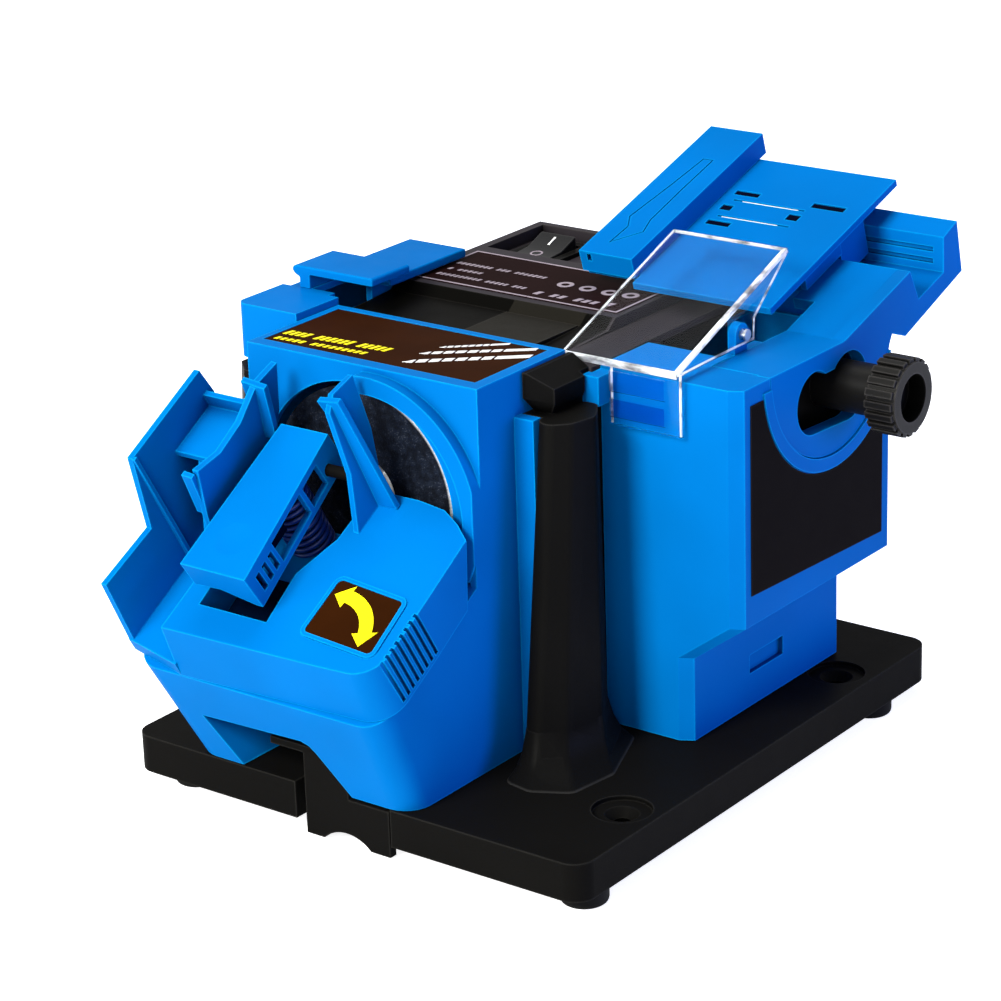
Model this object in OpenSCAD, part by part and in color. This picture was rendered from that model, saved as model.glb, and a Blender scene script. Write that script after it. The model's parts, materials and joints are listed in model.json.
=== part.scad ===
// Electric sharpener: a motor unit on a base plate that carries a drill head in front of its
// grinding wheel, a chisel head on its right side and a knife head on its left side.
// Sizes are in millimetres. X runs right along the front edge, Y to the back and Z up from the floor.

/* [Base] */
// Width of the base plate
plate_w = 180; // [170:0.5:190]
// Depth of the base plate
plate_d = 205.6; // [196:0.2:214]
// Thickness of the base plate
plate_t = 12.8; // [10:0.2:16]
// Radius of the base plate's corners
plate_corner = 7; // [3:0.5:12]
// Height of the rubber feet
foot_h = 5.2; // [3:0.2:8]
// Radius of the rubber feet
foot_r = 7.6; // [6:0.1:9]
// Distance between the bench screw holes along X
bolt_x = 154.4; // [148:0.2:158]
// Distance between the bench screw holes along Y
bolt_y = 125.6; // [118:0.2:132]
// Radius of the bench screw holes
bolt_r = 2.75; // [2:0.05:3.5]

/* [Motor unit] */
// X position of the motor axis
motor_x = -22.6; // [-26:0.2:-18]
// Height of the motor axis
motor_z = 100.6; // [96:0.2:104]
// Outer radius of the motor can
can_r = 30; // [24:0.5:34]
// Radius of the motor shaft
shaft_r = 4; // [3:0.25:5]
// Radius of the grinding wheel
wheel_r = 36; // [32:0.5:37]
// Thickness of the grinding wheel
wheel_t = 14; // [10:0.5:18]
// Wall thickness of the mouldings
wall = 2.4; // [1.6:0.1:3.2]
// Height of the top cover's upper face
cover_z = 144.6; // [143:0.1:145]

/* [Drill head] */
// Width of the drill head
drill_w = 92; // [88:0.5:94]
// Height of the drill head's upper face
drill_top = 145.2; // [142:0.1:148]
// Front face of the drill head
drill_front = -63.2; // [-66:0.1:-62]
// Rear edge of the drill head
drill_rear = -17.3; // [-20:0.1:-16.5]
// Angle of the drill holder's upper face
slope_a = 31; // [28:0.5:34]
// Thickness of the drill holder
holder_t = 19.5; // [15:0.5:22]
// Radius of the stud that the holder swings on
stud_r = 5; // [3:0.25:7]

/* [Chisel head] */
// Left side of the chisel head
chisel_l = 36; // [35.9:0.1:38]
// Right side of the chisel head
chisel_r = 88; // [85:0.1:91]
// Front face of the chisel head
chisel_front = -11.8; // [-13:0.1:-10]
// Rear face of the chisel head
chisel_rear = 77; // [73:0.5:80]
// Height of the chisel head's upper face
chisel_top = 140; // [138:0.1:142]
// Slope of the chisel table
table_a = 17.3; // [14:0.1:20]
// Radius of the round cheek that the table turns on
cheek_r = 36.5; // [33:0.1:38]
// Radius of the lock knob
knob_r = 12.9; // [11:0.1:15]
// Length of the lock knob's grip
knob_l = 10.6; // [8:0.1:13]

/* [Knife head] */
// Left side of the knife head
knife_l = -92; // [-96:0.5:-88]
// Height of the knife head's shoulder
knife_top = 147.5; // [144:0.5:150]

/* [Hidden] */
$fn = 48;
plate_top = foot_h + plate_t;
plate_front = -plate_d / 2;
gap = 0.3;
boss_r = 5.5;
recess_r = 9.6;
run = 0.05;
tiny = 0.02;
BLUE = [0.0, 0.42, 0.85];
BLACK = [0.06, 0.06, 0.065];
STEEL = [0.62, 0.63, 0.65];
BROWN = [0.2, 0.11, 0.08];
CLEAR = [0.85, 0.92, 0.97, 0.35];

// Drill head
core_x = -19.4;
drill_l = core_x - drill_w / 2;
drill_r = core_x + drill_w / 2;
drill_z = plate_top + gap;
flange_w = 7.4;
bed_corner = 9;
flange_y0 = -45;
flange_y1 = -41;
flange_z = 131;
post_r = drill_r + flange_w + 0.4;
post_l = drill_l - flange_w - 0.4;
wheel_y = drill_front + wall + 0.5;
opening_r = wheel_r + 2.2;
rim_x = -14;
rim_z = 101;
rim_r = 42.3;
rim_t = 5.8;
rim_low = -25;
rim_high = 96;
rim_depth = 4.3;

// The frame of the drill holder: X, then up the slope, then out of the slope
slope_y = -90;
slope_z = 90.57;
bed_h = -holder_t - gap;
swing_x = -30;
swing_s = 14;
pocket_h = -13;
clamp_s = 24;
clamp_h = 12.5;
clamp_r = 2;
lever_s = -25;
lever_h = 4.1;
lever_a = 3.83;
lever_l = 56.9;
lever_t = 13.9;
dip_r = 34;
fin_lean = 9.5;
fin_t = 2.2;
nose_x = 18.6;
nose_r = 10.7;

// Motor unit
house_l = -69.5;
house_r = 35.5;
house_front = -16;
house_rear = 100.5;
house_z = 138;
can_y0 = 2;
can_y1 = 72;
end_t = 6;
bearing_r = 8;
rocker_x = -51;
rocker_y = 79;
rocker_w = 14.4;
rocker_l = 20.4;
rocker_z = 137.6;
rocker_a = 13;
recess_z = 140.2;
rail_y = 30;
rail_top = 100;

// Chisel head
chisel_z = plate_top + gap;
foot_x = 68.5;
corbel_z0 = 47;
corbel_z1 = 61.3;
bevel_x = 4.6;
bevel_y = 2.5;
tilt_y = 42;
tilt_z = 141;
knee_y = 49.8;
knee_z = 140.2;
cheek_x = chisel_r - 5;
cheek_gap = 0.3;
liner_x = cheek_x - 6;
liner_t = 1.2;
knob_y = 51.5;
knob_z = 124.5;
knob_end = chisel_r + 24;
stud_end = chisel_r + 9;
neck_r = 8.4;
neck_hole = 9.9;
hinge_y = 23.4;
hinge_z = 145.8;
hinge_r = 1.8;
well_y = 15;
post_round = 4.4;
post_foot = [[post_r, -67], [post_r + 11.6, -69], [post_r + 24, -62.5], [post_r + 26.6, -44],
             [post_r + 15.6, house_front], [post_r, house_front]];
post_low = [[post_r, -58], [post_r + 6.6, -58.4], [post_r + 13.6, -51.4], [post_r + 15.8, -34],
            [post_r + 5.6, house_front], [post_r, house_front]];
post_high = [[post_r, -46], [post_r + 5.1, -46.4], [post_r + 11.1, -40.4], [post_r + 13.3, -31],
             [post_r + 3.8, house_front], [post_r, house_front]];
flare = [[0, 1], [2.4, 0.5], [6.6, 0.18], [14, 0]];
function between(a, b, share) = [for (i = [0:len(a) - 1]) a[i] + (b[i] - a[i]) * share];
lug_y = -20;
lug_r = 41;
lug_z = 129.6;
rib_x0 = 62.5;
rib_x1 = 65.5;
plate_o0 = 7.7;
plate_o1 = 10.1;
fence_o0 = 10.3;
fence_o1 = 18;

// Knife head
knife_r = house_l - 0.7;
knife_front = -14;
knife_nose = -38;
knife_rear = 47.5;
knife_step = 3.4;
knife_corner = 4;
shoulder_z = 129;

// Clamp spring
coil_turns = 11;
coil_r = 6.8;
coil_wire = 0.9;
coil_steps = 8;
coil_sides = 6;
coil_x = -33;
coil_s = 12;
coil_h0 = pocket_h + coil_wire;
coil_h1 = 16.6;

// A box between two opposite corners
module block(a, b) {
    translate(a) cube(b - a);
}

// A flat outline in Y and Z, drawn out along X
module along_x(x0, x1) {
    translate([x0, 0, 0]) rotate([90, 0, 90]) linear_extrude(x1 - x0) children();
}

// A flat outline in X and Z, drawn out along Y
module along_y(y0, y1) {
    translate([0, y1, 0]) rotate([90, 0, 0]) linear_extrude(y1 - y0) children();
}

// A round bar along X
module bar_x(x0, x1, y, z, r) {
    translate([x0, y, z]) rotate([0, 90, 0]) cylinder(r = r, h = x1 - x0);
}

// A round bar along the motor axis
module bar_y(y0, y1, r) {
    translate([motor_x, y0, motor_z]) rotate([-90, 0, 0]) cylinder(r = r, h = y1 - y0);
}

// The frame of the drill holder's upper face
module on_slope() {
    translate([0, slope_y, slope_z]) rotate([slope_a, 0, 0]) children();
}

// The frame of the chisel table's sloping face
module on_table() {
    translate([0, knee_y, knee_z]) rotate([table_a, 0, 0]) children();
}

// A rectangle with round corners, centred
module round_rect(w, d, r) {
    offset(r = r) square([w - 2 * r, d - 2 * r], center = true);
}

// Base plate with a hollow underside, bench screw holes and a slot for the latch
module base_plate() {
    color(BLACK) difference() {
        union() {
            translate([0, 0, foot_h]) linear_extrude(plate_t) round_rect(plate_w, plate_d, plate_corner);
            for (x = [-1, 1], y = [-1, 1])
                translate([x * bolt_x / 2, y * bolt_y / 2, 0]) cylinder(r = boss_r, h = foot_h + 1);
        }
        for (side = [-1, 1])
            translate([side * 34, 5, foot_h - 1])
                linear_extrude(plate_t - 3) round_rect(56, 166, 4);
        for (x = [-1, 1], y = [-1, 1])
            translate([x * bolt_x / 2, y * bolt_y / 2, 0]) {
                translate([0, 0, -1]) cylinder(r = bolt_r, h = plate_top + 2);
                translate([0, 0, plate_top - 1.6]) cylinder(r = recess_r, h = 3);
                translate([0, 0, plate_top - 4.4]) cylinder(r1 = bolt_r, r2 = 5.6, h = 2.85);
            }
        block([-20.6, plate_front - 1, foot_h - 1], [17.6, -86, plate_top + 1]);
    }
}

// Four rubber feet under the plate's corners
module rubber_feet() {
    color(BLACK)
        for (x = [-plate_w / 2 + 16, plate_w / 2 - 8], y = [plate_front + 12.8, bolt_y / 2 + boss_r + foot_r + gap])
            translate([x, y, 0]) {
                cylinder(r1 = foot_r - 0.8, r2 = foot_r, h = 1);
                translate([0, 0, 1]) cylinder(r = foot_r, h = foot_h - 1);
            }
}

// Motor housing: four walls on the base plate, with a shaft hole, vents and a cord hole
module motor_housing() {
    color(BLACK) difference() {
        block([house_l, house_front, plate_top], [house_r, house_rear, house_z]);
        block([house_l + wall, house_front + wall, plate_top - 1], [house_r - wall, house_rear - wall, house_z + 1]);
        bar_y(house_front - 1, house_front + wall + 1, 9);
        for (i = [0:8])
            block([motor_x - 30 + i * 7, house_rear - wall - 1, 60], [motor_x - 26.5 + i * 7, house_rear + 1, 118]);
        translate([12, house_rear - wall - 1, 34]) rotate([-90, 0, 0]) cylinder(r = 7, h = wall + 2);
    }
}

// Section of the right post at height z, spread towards its foot by the given share
module post_slice(z, spread) {
    rise = (z - plate_top) / (flange_z - plate_top);
    translate([0, 0, z]) linear_extrude(tiny) offset(r = post_round, $fn = 32) offset(delta = -post_round)
        polygon(between(between(post_low, post_high, rise), post_foot, spread));
}

// Tapering post with a groove for the drill head's right flange and a shoulder on top
module guide_post_right() {
    color(BLACK) {
        difference() {
            hull() {
                post_slice(plate_top, 0);
                post_slice(flange_z - tiny, 0);
            }
            block([post_r + 0.1, lug_y - 1, 116], [post_r + 26, house_front + 1, flange_z + 1]);
        }
        for (i = [0:2])
            hull() {
                post_slice(plate_top + flare[i][0], flare[i][1]);
                post_slice(plate_top + flare[i + 1][0], flare[i + 1][1]);
            }
        block([drill_r + 0.4, flange_y1 + gap, plate_top], [post_r + 0.1, house_front, flange_z]);
        block([post_r, flange_y1 + gap, plate_top], [post_r + 3, house_front, 116]);
        difference() {
            hull() {
                block([drill_r + 0.4, flange_y1 + gap, flange_z + 5], [drill_r + 2, house_front, drill_top - 1]);
                block([drill_r + 6, flange_y1 + 4, flange_z + 3.6], [post_r + 2.1, house_front, flange_z + 8.4]);
                block([drill_r + 2.4, flange_y1 + 5, flange_z - 1], [post_r, house_front, flange_z + 4]);
            }
            block([post_r + 0.1, lug_y - 1, flange_z - 2], [post_r + 26, house_front + 1, flange_z + 20]);
        }
    }
}

// Tapering post for the drill head's left flange
module guide_post_left() {
    color(BLACK) {
        hull() {
            translate([0, 0, plate_top]) linear_extrude(tiny)
                polygon([[post_l, -54], [post_l - 8.4, -54], [post_l - 16.6, -46], [post_l - 16.6, house_front],
                         [post_l, house_front]]);
            translate([0, 0, 127.9]) linear_extrude(tiny)
                polygon([[post_l, -46], [post_l - 9.6, -46], [post_l - 16.4, -39.5], [post_l - 16.4, house_front],
                         [post_l, house_front]]);
        }
        block([post_l - 0.1, flange_y1 + gap, plate_top], [drill_l - 0.6, house_front, 127.9]);
    }
}

// Top cover: a raised panel for the label, a lower sloping front and a recess for the switch
module top_cover() {
    color(BLACK) difference() {
        union() {
            along_x(house_l, 20.5)
                polygon([[house_front, house_z], [house_rear, house_z], [house_rear, cover_z], [19, cover_z],
                         [15, 141.4], [house_front, 139.8]]);
            block([20.4, house_front, house_z], [house_r, house_rear, 140.4]);
            block([-20, -12, 139], [9, 14, 141.9]);
        }
        block([-66, 64.6, recess_z], [-14, 97.5, cover_z + 1]);
        block([rocker_x - 9, rocker_y - 12.4, house_z - 1], [rocker_x + 9, rocker_y + 12.4, cover_z]);
        block([house_l + 4, house_front + 4, house_z - 1], [house_r - 4, house_rear - 4, house_z + 0.8]);
    }
}

// Bare label plate on the top cover
module rating_label() {
    color(BROWN) block([-65.5, 22.5, cover_z], [18.5, 58.5, cover_z + 0.3]);
}

// Frame and body of the rocker switch, with pivot pips on its inner sides
module switch_frame() {
    color(BLACK) {
        difference() {
            union() {
                block([rocker_x - 10.5, rocker_y - 14, recess_z], [rocker_x + 10.5, rocker_y + 14, recess_z + 1.6]);
                block([rocker_x - 9, rocker_y - 12.4, 126.4], [rocker_x + 9, rocker_y + 12.4, recess_z + 0.1]);
            }
            block([rocker_x - rocker_w / 2 - gap, rocker_y - rocker_l / 2 - gap, 128],
                  [rocker_x + rocker_w / 2 + gap, rocker_y + rocker_l / 2 + gap, recess_z + 3]);
        }
        bar_x(rocker_x - rocker_w / 2 - gap - 0.1, rocker_x - rocker_w / 2 + 2, rocker_y, rocker_z, 1.5);
        bar_x(rocker_x + rocker_w / 2 - 2, rocker_x + rocker_w / 2 + gap + 0.1, rocker_y, rocker_z, 1.5);
    }
}

// Rocker of the switch, at rest with its near end pressed
module switch_rocker() {
    color(BLACK) translate([rocker_x, rocker_y, rocker_z]) rotate([rocker_a, 0, 0]) difference() {
        along_x(-rocker_w / 2, rocker_w / 2)
            polygon([[-9, 6.6], [0, 5.3], [9, 6.6], [8, -3], [3, -5.4], [-3, -5.4], [-8, -3]]);
        bar_x(-rocker_w / 2 - 1, -rocker_w / 2 + 2.4, 0, 0, 1.5 + run);
        bar_x(rocker_w / 2 - 2.4, rocker_w / 2 + 1, 0, 0, 1.5 + run);
    }
}

// Steel can of the motor with its two end plates
module motor_can() {
    color(STEEL) difference() {
        bar_y(can_y0, can_y1, can_r);
        bar_y(can_y0 + end_t, can_y1 - end_t, can_r - 2.5);
        bar_y(can_y0 - 1, can_y1 + 1, bearing_r);
    }
}

// Bearing rings in the can's end plates
module shaft_bearings() {
    color(STEEL) for (y = [can_y0, can_y1 - end_t]) difference() {
        bar_y(y, y + end_t, bearing_r);
        bar_y(y - 1, y + end_t + 1, shaft_r + run);
    }
}

// Saddle that carries the motor can
module motor_cradle() {
    color(BLACK) difference() {
        block([motor_x - 24, 18, plate_top], [motor_x + 24, 56, motor_z - 12]);
        bar_y(17, 57, can_r);
        block([motor_x - 18, 17, plate_top + 4], [motor_x + 18, 57, motor_z - can_r - 5]);
    }
}

// Bushing for the cord in the rear wall
module cord_gland() {
    color(BLACK) translate([12, house_rear - wall, 34]) rotate([-90, 0, 0]) difference() {
        union() {
            cylinder(r = 7, h = wall);
            translate([0, 0, wall]) cylinder(r = 9, h = 2.2);
            translate([0, 0, wall + 2.2]) cylinder(r = 6, h = 5);
        }
        translate([0, 0, -1]) cylinder(r = 3.5, h = 14);
    }
}

// Screws that hold the rear wall
module housing_screws() {
    color(STEEL)
        for (x = [house_l + 7, house_r - 7], z = [27, 129])
            translate([x, house_rear, z]) rotate([-90, 0, 0]) difference() {
                cylinder(r = 3.4, h = 1.8);
                translate([-2.4, -0.45, 0.8]) cube([4.8, 0.9, 2]);
                translate([-0.45, -2.4, 0.8]) cube([0.9, 4.8, 2]);
            }
}

// Rails with a T section on both sides of the housing, for the chisel and knife heads
module head_rails() {
    color(BLACK) {
        block([house_r, rail_y - 4, 22], [house_r + 3.4, rail_y + 4, rail_top]);
        block([house_r + 3.3, rail_y - 9, 22], [house_r + 6, rail_y + 9, rail_top]);
        block([house_l - 3.4, rail_y - 4, 22], [house_l, rail_y + 4, rail_top]);
        block([house_l - 6, rail_y - 9, 22], [house_l - 3.3, rail_y + 9, rail_top]);
    }
}

// Motor shaft
module motor_shaft() {
    color(STEEL) bar_y(wheel_y + 0.6, 88, shaft_r);
}

// Armature on the shaft
module armature() {
    color(STEEL) difference() {
        bar_y(14, 60, can_r - 4.5);
        bar_y(13, 61, shaft_r);
    }
}

// Cooling fan behind the motor
module cooling_fan() {
    color(BLACK) difference() {
        union() {
            bar_y(75, 84, 9);
            bar_y(75, 77, 25);
            for (i = [0:8])
                translate([motor_x, 76, motor_z]) rotate([0, i * 40 + 7, 0]) translate([-0.9, 0, 6.5]) cube([1.8, 7, 17]);
        }
        bar_y(74, 85, shaft_r);
    }
}

// Clamping flanges on both sides of the wheel
module wheel_flanges() {
    color(STEEL) difference() {
        union() {
            bar_y(wheel_y + 6, wheel_y + 7.5, 9);
            bar_y(wheel_y + wheel_t, wheel_y + wheel_t + 6, 16);
        }
        bar_y(wheel_y, wheel_y + wheel_t + 7, shaft_r);
    }
}

// Grinding wheel with a recess for its nut
module grinding_wheel() {
    color([0.35, 0.35, 0.37]) difference() {
        bar_y(wheel_y, wheel_y + wheel_t, wheel_r);
        bar_y(wheel_y - 1, wheel_y + 7.5, 13);
        bar_y(wheel_y, wheel_y + wheel_t + 1, shaft_r);
    }
}

// Nut that holds the wheel
module wheel_nut() {
    color(STEEL) translate([motor_x, wheel_y + 2, motor_z]) rotate([-90, 0, 0]) difference() {
        cylinder(r = 7, h = 4, $fn = 6);
        translate([0, 0, -1]) cylinder(r = shaft_r, h = 6);
    }
}

// Sprung tongue in the plate's front edge that holds the drill head down
module head_latch() {
    color(BLACK) difference() {
        union() {
            block([-16.8, plate_front + 0.2, 1.2], [17, plate_front + 3.2, plate_top - 1]);
            block([-16.8, plate_front + 0.2, plate_top - 4.6], [17, -94.6, plate_top - 1]);
            along_y(plate_front + 0.2, plate_front + 3.2)
                polygon([[-16.8, plate_top - 4.6], [1, plate_top - 4.6], [1, 18.9], [-5.4, 31.4], [-16.8, 31.4]]);
            block([-30.2, plate_front + 0.2, 28.9], [-8.4, plate_front + 8, 31.4]);
            bar_x(-16.8, 17, -94, plate_top - 2.8, 2.8);
        }
        translate([-0.3, plate_front - 1, -8.65]) rotate([-90, 0, 0]) cylinder(r = 13.65, h = 6);
        bar_x(-18, 18, -94, plate_top - 2.8, 1.5 + run);
    }
}

// Pin that the latch turns on, held in the sides of the plate's slot
module latch_pin() {
    color(STEEL) bar_x(-20.6, 17.6, -94, plate_top - 2.8, 1.5);
}

// Outline of the bed that the holder swings on, inset by the given wall
module bed_form(t) {
    hull() {
        on_slope() translate([0, 0, bed_h - 3 - t]) linear_extrude(3)
            polygon(apron(-74 + t, drill_r - t, -42.8 + t, 19.4, bed_corner - t));
        translate([0, 0, drill_z - (t > 0 ? 1 : 0)]) linear_extrude(1)
            polygon(apron(-62.6 + t, drill_r - t, plate_front + 0.2 + t, drill_front, bed_corner - t));
    }
}

// Corners of a rectangle whose two front corners are round
function apron(x0, x1, y0, y1, r) = concat(
    [for (a = [180:15:270]) [x0 + r + r * cos(a), y0 + r + r * sin(a)]],
    [for (a = [270:15:360]) [x1 - r + r * cos(a), y0 + r + r * sin(a)]],
    [[x1, y1], [x0, y1]]);

// Outline of the gap between the bed's legs
module leg_gap() {
    polygon([[-42, 10], [2.5, 10], [2.5, drill_z], [-5.6, 33.6], [-7.6, 36.2], [-10.6, 37.4], [-51.5, 36], [-42, drill_z]]);
}

// Drill head: a hood over the wheel with a hollow sloping bed in front, open below and behind
module drill_shell() {
    color(BLUE) difference() {
        union() {
            block([drill_l, drill_front, drill_z], [drill_r, drill_rear, drill_top]);
            difference() {
                bed_form(0);
                bed_form(wall);
                block([-90, drill_front, 0], [40, drill_front + 20, 120]);
            }
            intersection() {
                bed_form(0);
                along_y(-125, -80) difference() {
                    offset(delta = wall) leg_gap();
                    leg_gap();
                }
            }
            block([drill_r - 0.1, flange_y0, drill_z], [drill_r + flange_w, flange_y1, flange_z]);
            block([drill_l - flange_w, flange_y0, drill_z], [drill_l + 0.1, flange_y1, flange_z - 4]);
            intersection() {
                translate([rim_x, drill_front - rim_depth, rim_z]) rotate([-90, 0, 0]) difference() {
                    cylinder(r = rim_r, h = rim_depth + 0.1);
                    translate([0, 0, -1]) cylinder(r = rim_r - rim_t, h = rim_depth + 3);
                }
                along_y(drill_front - 20, drill_front + 1)
                    polygon([[rim_x, rim_z], [drill_r, rim_z + (drill_r - rim_x) * tan(rim_low)],
                             [drill_r, rim_z + 60], [rim_x + 60 / tan(rim_high), rim_z + 60]]);
            }
            along_x(drill_r - wall, drill_r)
                polygon([[drill_front + 0.1, 91.5], [drill_front - 3.4, 89.4], [drill_front - 3.4, 80], [drill_front + 0.1, 80]]);
        }
        block([drill_l + wall, drill_front + wall, drill_z - 1], [drill_r - wall, drill_rear + 1, drill_top - wall]);
        translate([motor_x, drill_front - 0.1, motor_z]) rotate([-90, 0, 0]) cylinder(r = opening_r, h = wall + 1);
        along_y(-125, -96) leg_gap();
        block([drill_l + 2.6, drill_front + 5, drill_top - 0.7], [drill_r - 4.4, drill_rear - 3, drill_top + 1]);
    }
}

// Label plate sunk in the drill head's upper face
module drill_label() {
    color(BROWN) block([drill_l + 2.6, drill_front + 5, drill_top - 0.7], [drill_r - 4.4, drill_rear - 3, drill_top - 0.2]);
}

// Stud on the bed that the holder swings on
module swing_stud() {
    color(STEEL) on_slope() translate([swing_x, swing_s, bed_h]) cylinder(r = stud_r, h = 5.4);
}

// Points of the holder's round front right corner
function nose(s) = [for (a = [-92:9:-2]) [nose_x + nose_r * cos(a), s + nose_r * sin(a)]];

// Swinging holder: a wedge of plastic with a pocket for the clamp, a shelf on its left and a ribbed grip
module holder_block() {
    color(BLUE) on_slope() difference() {
        union() {
            hull() {
                translate([0, 0, -0.5]) linear_extrude(0.5)
                    polygon(concat([[-54, -39.2], [8, -37.7]], nose(-26.6), [[29.4, -8], [28.9, 18.7], [22.5, 23.6],
                            [15, 27.6], [4, 29], [-8, 29], [-30, 26], [-54, 23]]));
                translate([0, 0, -holder_t]) linear_extrude(0.5)
                    polygon(concat([[-54, -42.8], [8, -41]], nose(-30), [[29.4, -14], [28.9, 6.5], [22.5, 11],
                            [15, 13], [-8, 13.6], [-54, 12]]));
            }
            translate([0, 0, -holder_t]) linear_extrude(5.5)
                polygon([[-76.2, -38.4], [-53, -42.8], [-53, 12], [-76.2, 12]]);
            translate([0, 0, -0.1]) linear_extrude(0.8) difference() {
                offset(r = 1.5) label_outline();
                label_outline();
            }
        }
        translate([0, 0, pocket_h]) linear_extrude(20)
            polygon([[-46.4, -27.5], [-19, -27.5], [-20.6, -8], [-14.6, 8], [-13.6, 40], [-50, 40], [-48, 0]]);
        translate([swing_x, swing_s, -holder_t - 1]) cylinder(r = stud_r + run, h = 6.5);
        for (i = [0:7])
            translate([28.1, -31.4 + i * 2.7, -holder_t + 1.5]) cube([3, 1.35, holder_t]);
    }
}

// Stepped guide wall on the holder's shelf, with a ramp between it and the left fin
module guide_wall() {
    color(BLUE) on_slope() {
        along_x(-76.2, -73.9)
            polygon([[-38.2, -holder_t + 5.5], [-35.8, 10.4], [-10.7, 9], [-3.1, 34], [35.5, 33.8], [36.5, 23],
                     [24, 0], [12, -holder_t + 5.5]]);
        hull() {
            block([-74, -5, -14], [-72.3, -3.4, -13]);
            block([-74, -3.3, 32.4], [-73, -1.9, 33.8]);
        }
        block([-74, 12, 19], [-54.2, 34, 21]);
        block([-74, 32, 20.9], [-54.2, 34, 26]);
        along_x(-66, -64) polygon([[-6, -holder_t + 5.5], [10, -holder_t + 5.5], [30, 19.1], [13, 19.1]]);
    }
}

// A fin that stands on the holder beside the drill and carries the clamp pin
module fin(x, lean) {
    translate([x, 0, 0]) rotate([0, lean, 0]) along_x(-fin_t / 2, fin_t / 2) children();
}

// Left fin
module left_fin() {
    color(BLUE) on_slope() difference() {
        union() {
            fin(-52.7, fin_lean)
                polygon([[-8, -1], [-6.5, 18.4], [-3.1, 36.5], [8, 32.6], [20, 33.4], [32, 38.7], [43, 37], [37, 21], [21.5, -1]]);
            translate([-52.7, 0, 0]) rotate([0, fin_lean, 0]) {
                block([-4.5, 31, 30], [1, 33, 39]);
                block([-4, -5.6, 17], [0, -3.8, 35.4]);
                hull() {
                    block([0, 27.6, 18], [5.4, 29.4, 20]);
                    block([0, 31, 37], [4.5, 33, 39]);
                }
            }
        }
        block([-70, -20, -10], [-30, 60, 0]);
        bar_x(-50.8, -30, clamp_s, clamp_h, clamp_r);
    }
}

// Right fin
module right_fin() {
    color(BLUE) on_slope() difference() {
        union() {
            fin(-9.6, -fin_lean)
                polygon([[11, -1], [22, 15.8], [28.7, 36.2], [33.7, 39.5], [43.7, 37.8], [38, 20], [27, -1]]);
            translate([-9.6, 0, 0]) rotate([0, -fin_lean, 0]) {
                block([-4.5, 31, 31], [1, 33, 38.8]);
                hull() {
                    block([0, 23.6, -1], [8.6, 25.4, 0.5]);
                    block([0, 31, 37], [4.5, 33, 38.8]);
                }
            }
        }
        block([-40, -20, -10], [20, 60, 0]);
        bar_x(-40, -11.6, clamp_s, clamp_h, clamp_r);
    }
}

// Label with the turning arrow on the holder
module turn_label() {
    color(BROWN) on_slope() linear_extrude(0.4) label_outline();
}

// Outline of that label, with its corners rounded
module label_outline() {
    offset(r = 1.6) offset(delta = -1.6) polygon([[-4, -27.4], [-3.6, -6.2], [22.6, -8.6], [23.4, -29.4]]);
}

// Pin that the clamp turns on, held in the two fins
module clamp_pin() {
    color(BLACK) on_slope() bar_x(-50.7, -11.7, clamp_s, clamp_h, clamp_r);
}

// The frame of the clamp lever, which leans back a little more than the holder
module on_lever() {
    translate([0, lever_s, lever_h]) rotate([lever_a, 0, 0]) children();
}

// Clamp lever, hollow from below, with windows in its right side
module clamp_lever() {
    color(BLUE) on_slope() difference() {
        on_lever() linear_extrude(lever_t) polygon([[-46, 0], [-19.8, 0], [-23.5, lever_l], [-42.5, lever_l]]);
        on_lever() translate([0, 0, -1]) linear_extrude(lever_t - 1.2)
            polygon([[-43.8, 2.2], [-22.2, 2.2], [-25.6, lever_l - 2.2], [-40.4, lever_l - 2.2]]);
        on_lever() for (u = [4, 8, 12]) block([-26, u, 3], [-18, u + 2.2, 10]);
        on_lever() block([-26, 16, 2.2], [-18, 35, 11.5]);
        on_lever() block([-28, 37, 2.2], [-18, 46.4, 11.5]);
        on_lever() along_y(-1, 2.4) polygon([[-47, -2], [-47, 2.6], [-43.4, 3.4], [-35, 4], [-21, -0.4], [-21, -2]]);
        on_lever() translate([-33, 13, lever_t + dip_r - 0.7]) sphere(r = dip_r);
        bar_x(-60, -5, clamp_s, clamp_h, clamp_r + run);
    }
}

// Points of the clamp spring's centre line
function coil_point(i) =
    let (n = coil_turns * coil_steps, a = 360 * i / coil_steps, f = i / n)
    [coil_x + coil_r * cos(a), coil_s + coil_r * sin(a), coil_h0 + (coil_h1 - coil_h0) * f];

// Ring of points around the wire at one place on the centre line
function coil_ring(i) =
    let (a = 360 * i / coil_steps, c = coil_point(i), out = [cos(a), sin(a), 0], up = [0, 0, 1])
    [for (k = [0:coil_sides - 1])
        let (b = 360 * k / coil_sides) c + coil_wire * (cos(b) * out + sin(b) * up)];

coil_count = coil_turns * coil_steps;
coil_gap = min([for (i = [0:coil_count - coil_steps], j = [i + coil_steps - 1:min(i + coil_steps + 1, coil_count)])
    norm(coil_point(i) - coil_point(j))]) - 2 * coil_wire;
echo(clamp_spring_least_gap_mm = coil_gap);

// Spring under the clamp lever, standing on the pocket's floor
module clamp_spring() {
    color(STEEL) on_slope() polyhedron(
        points = [for (i = [0:coil_count]) each coil_ring(i)],
        faces = concat(
            [[for (k = [0:coil_sides - 1]) k]],
            [for (i = [0:coil_count - 1], k = [0:coil_sides - 1])
                let (a = i * coil_sides + k, b = i * coil_sides + (k + 1) % coil_sides)
                [a, a + coil_sides, b + coil_sides, b]],
            [[for (k = [coil_sides - 1:-1:0]) coil_count * coil_sides + k]]),
        convexity = 8);
}

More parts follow.
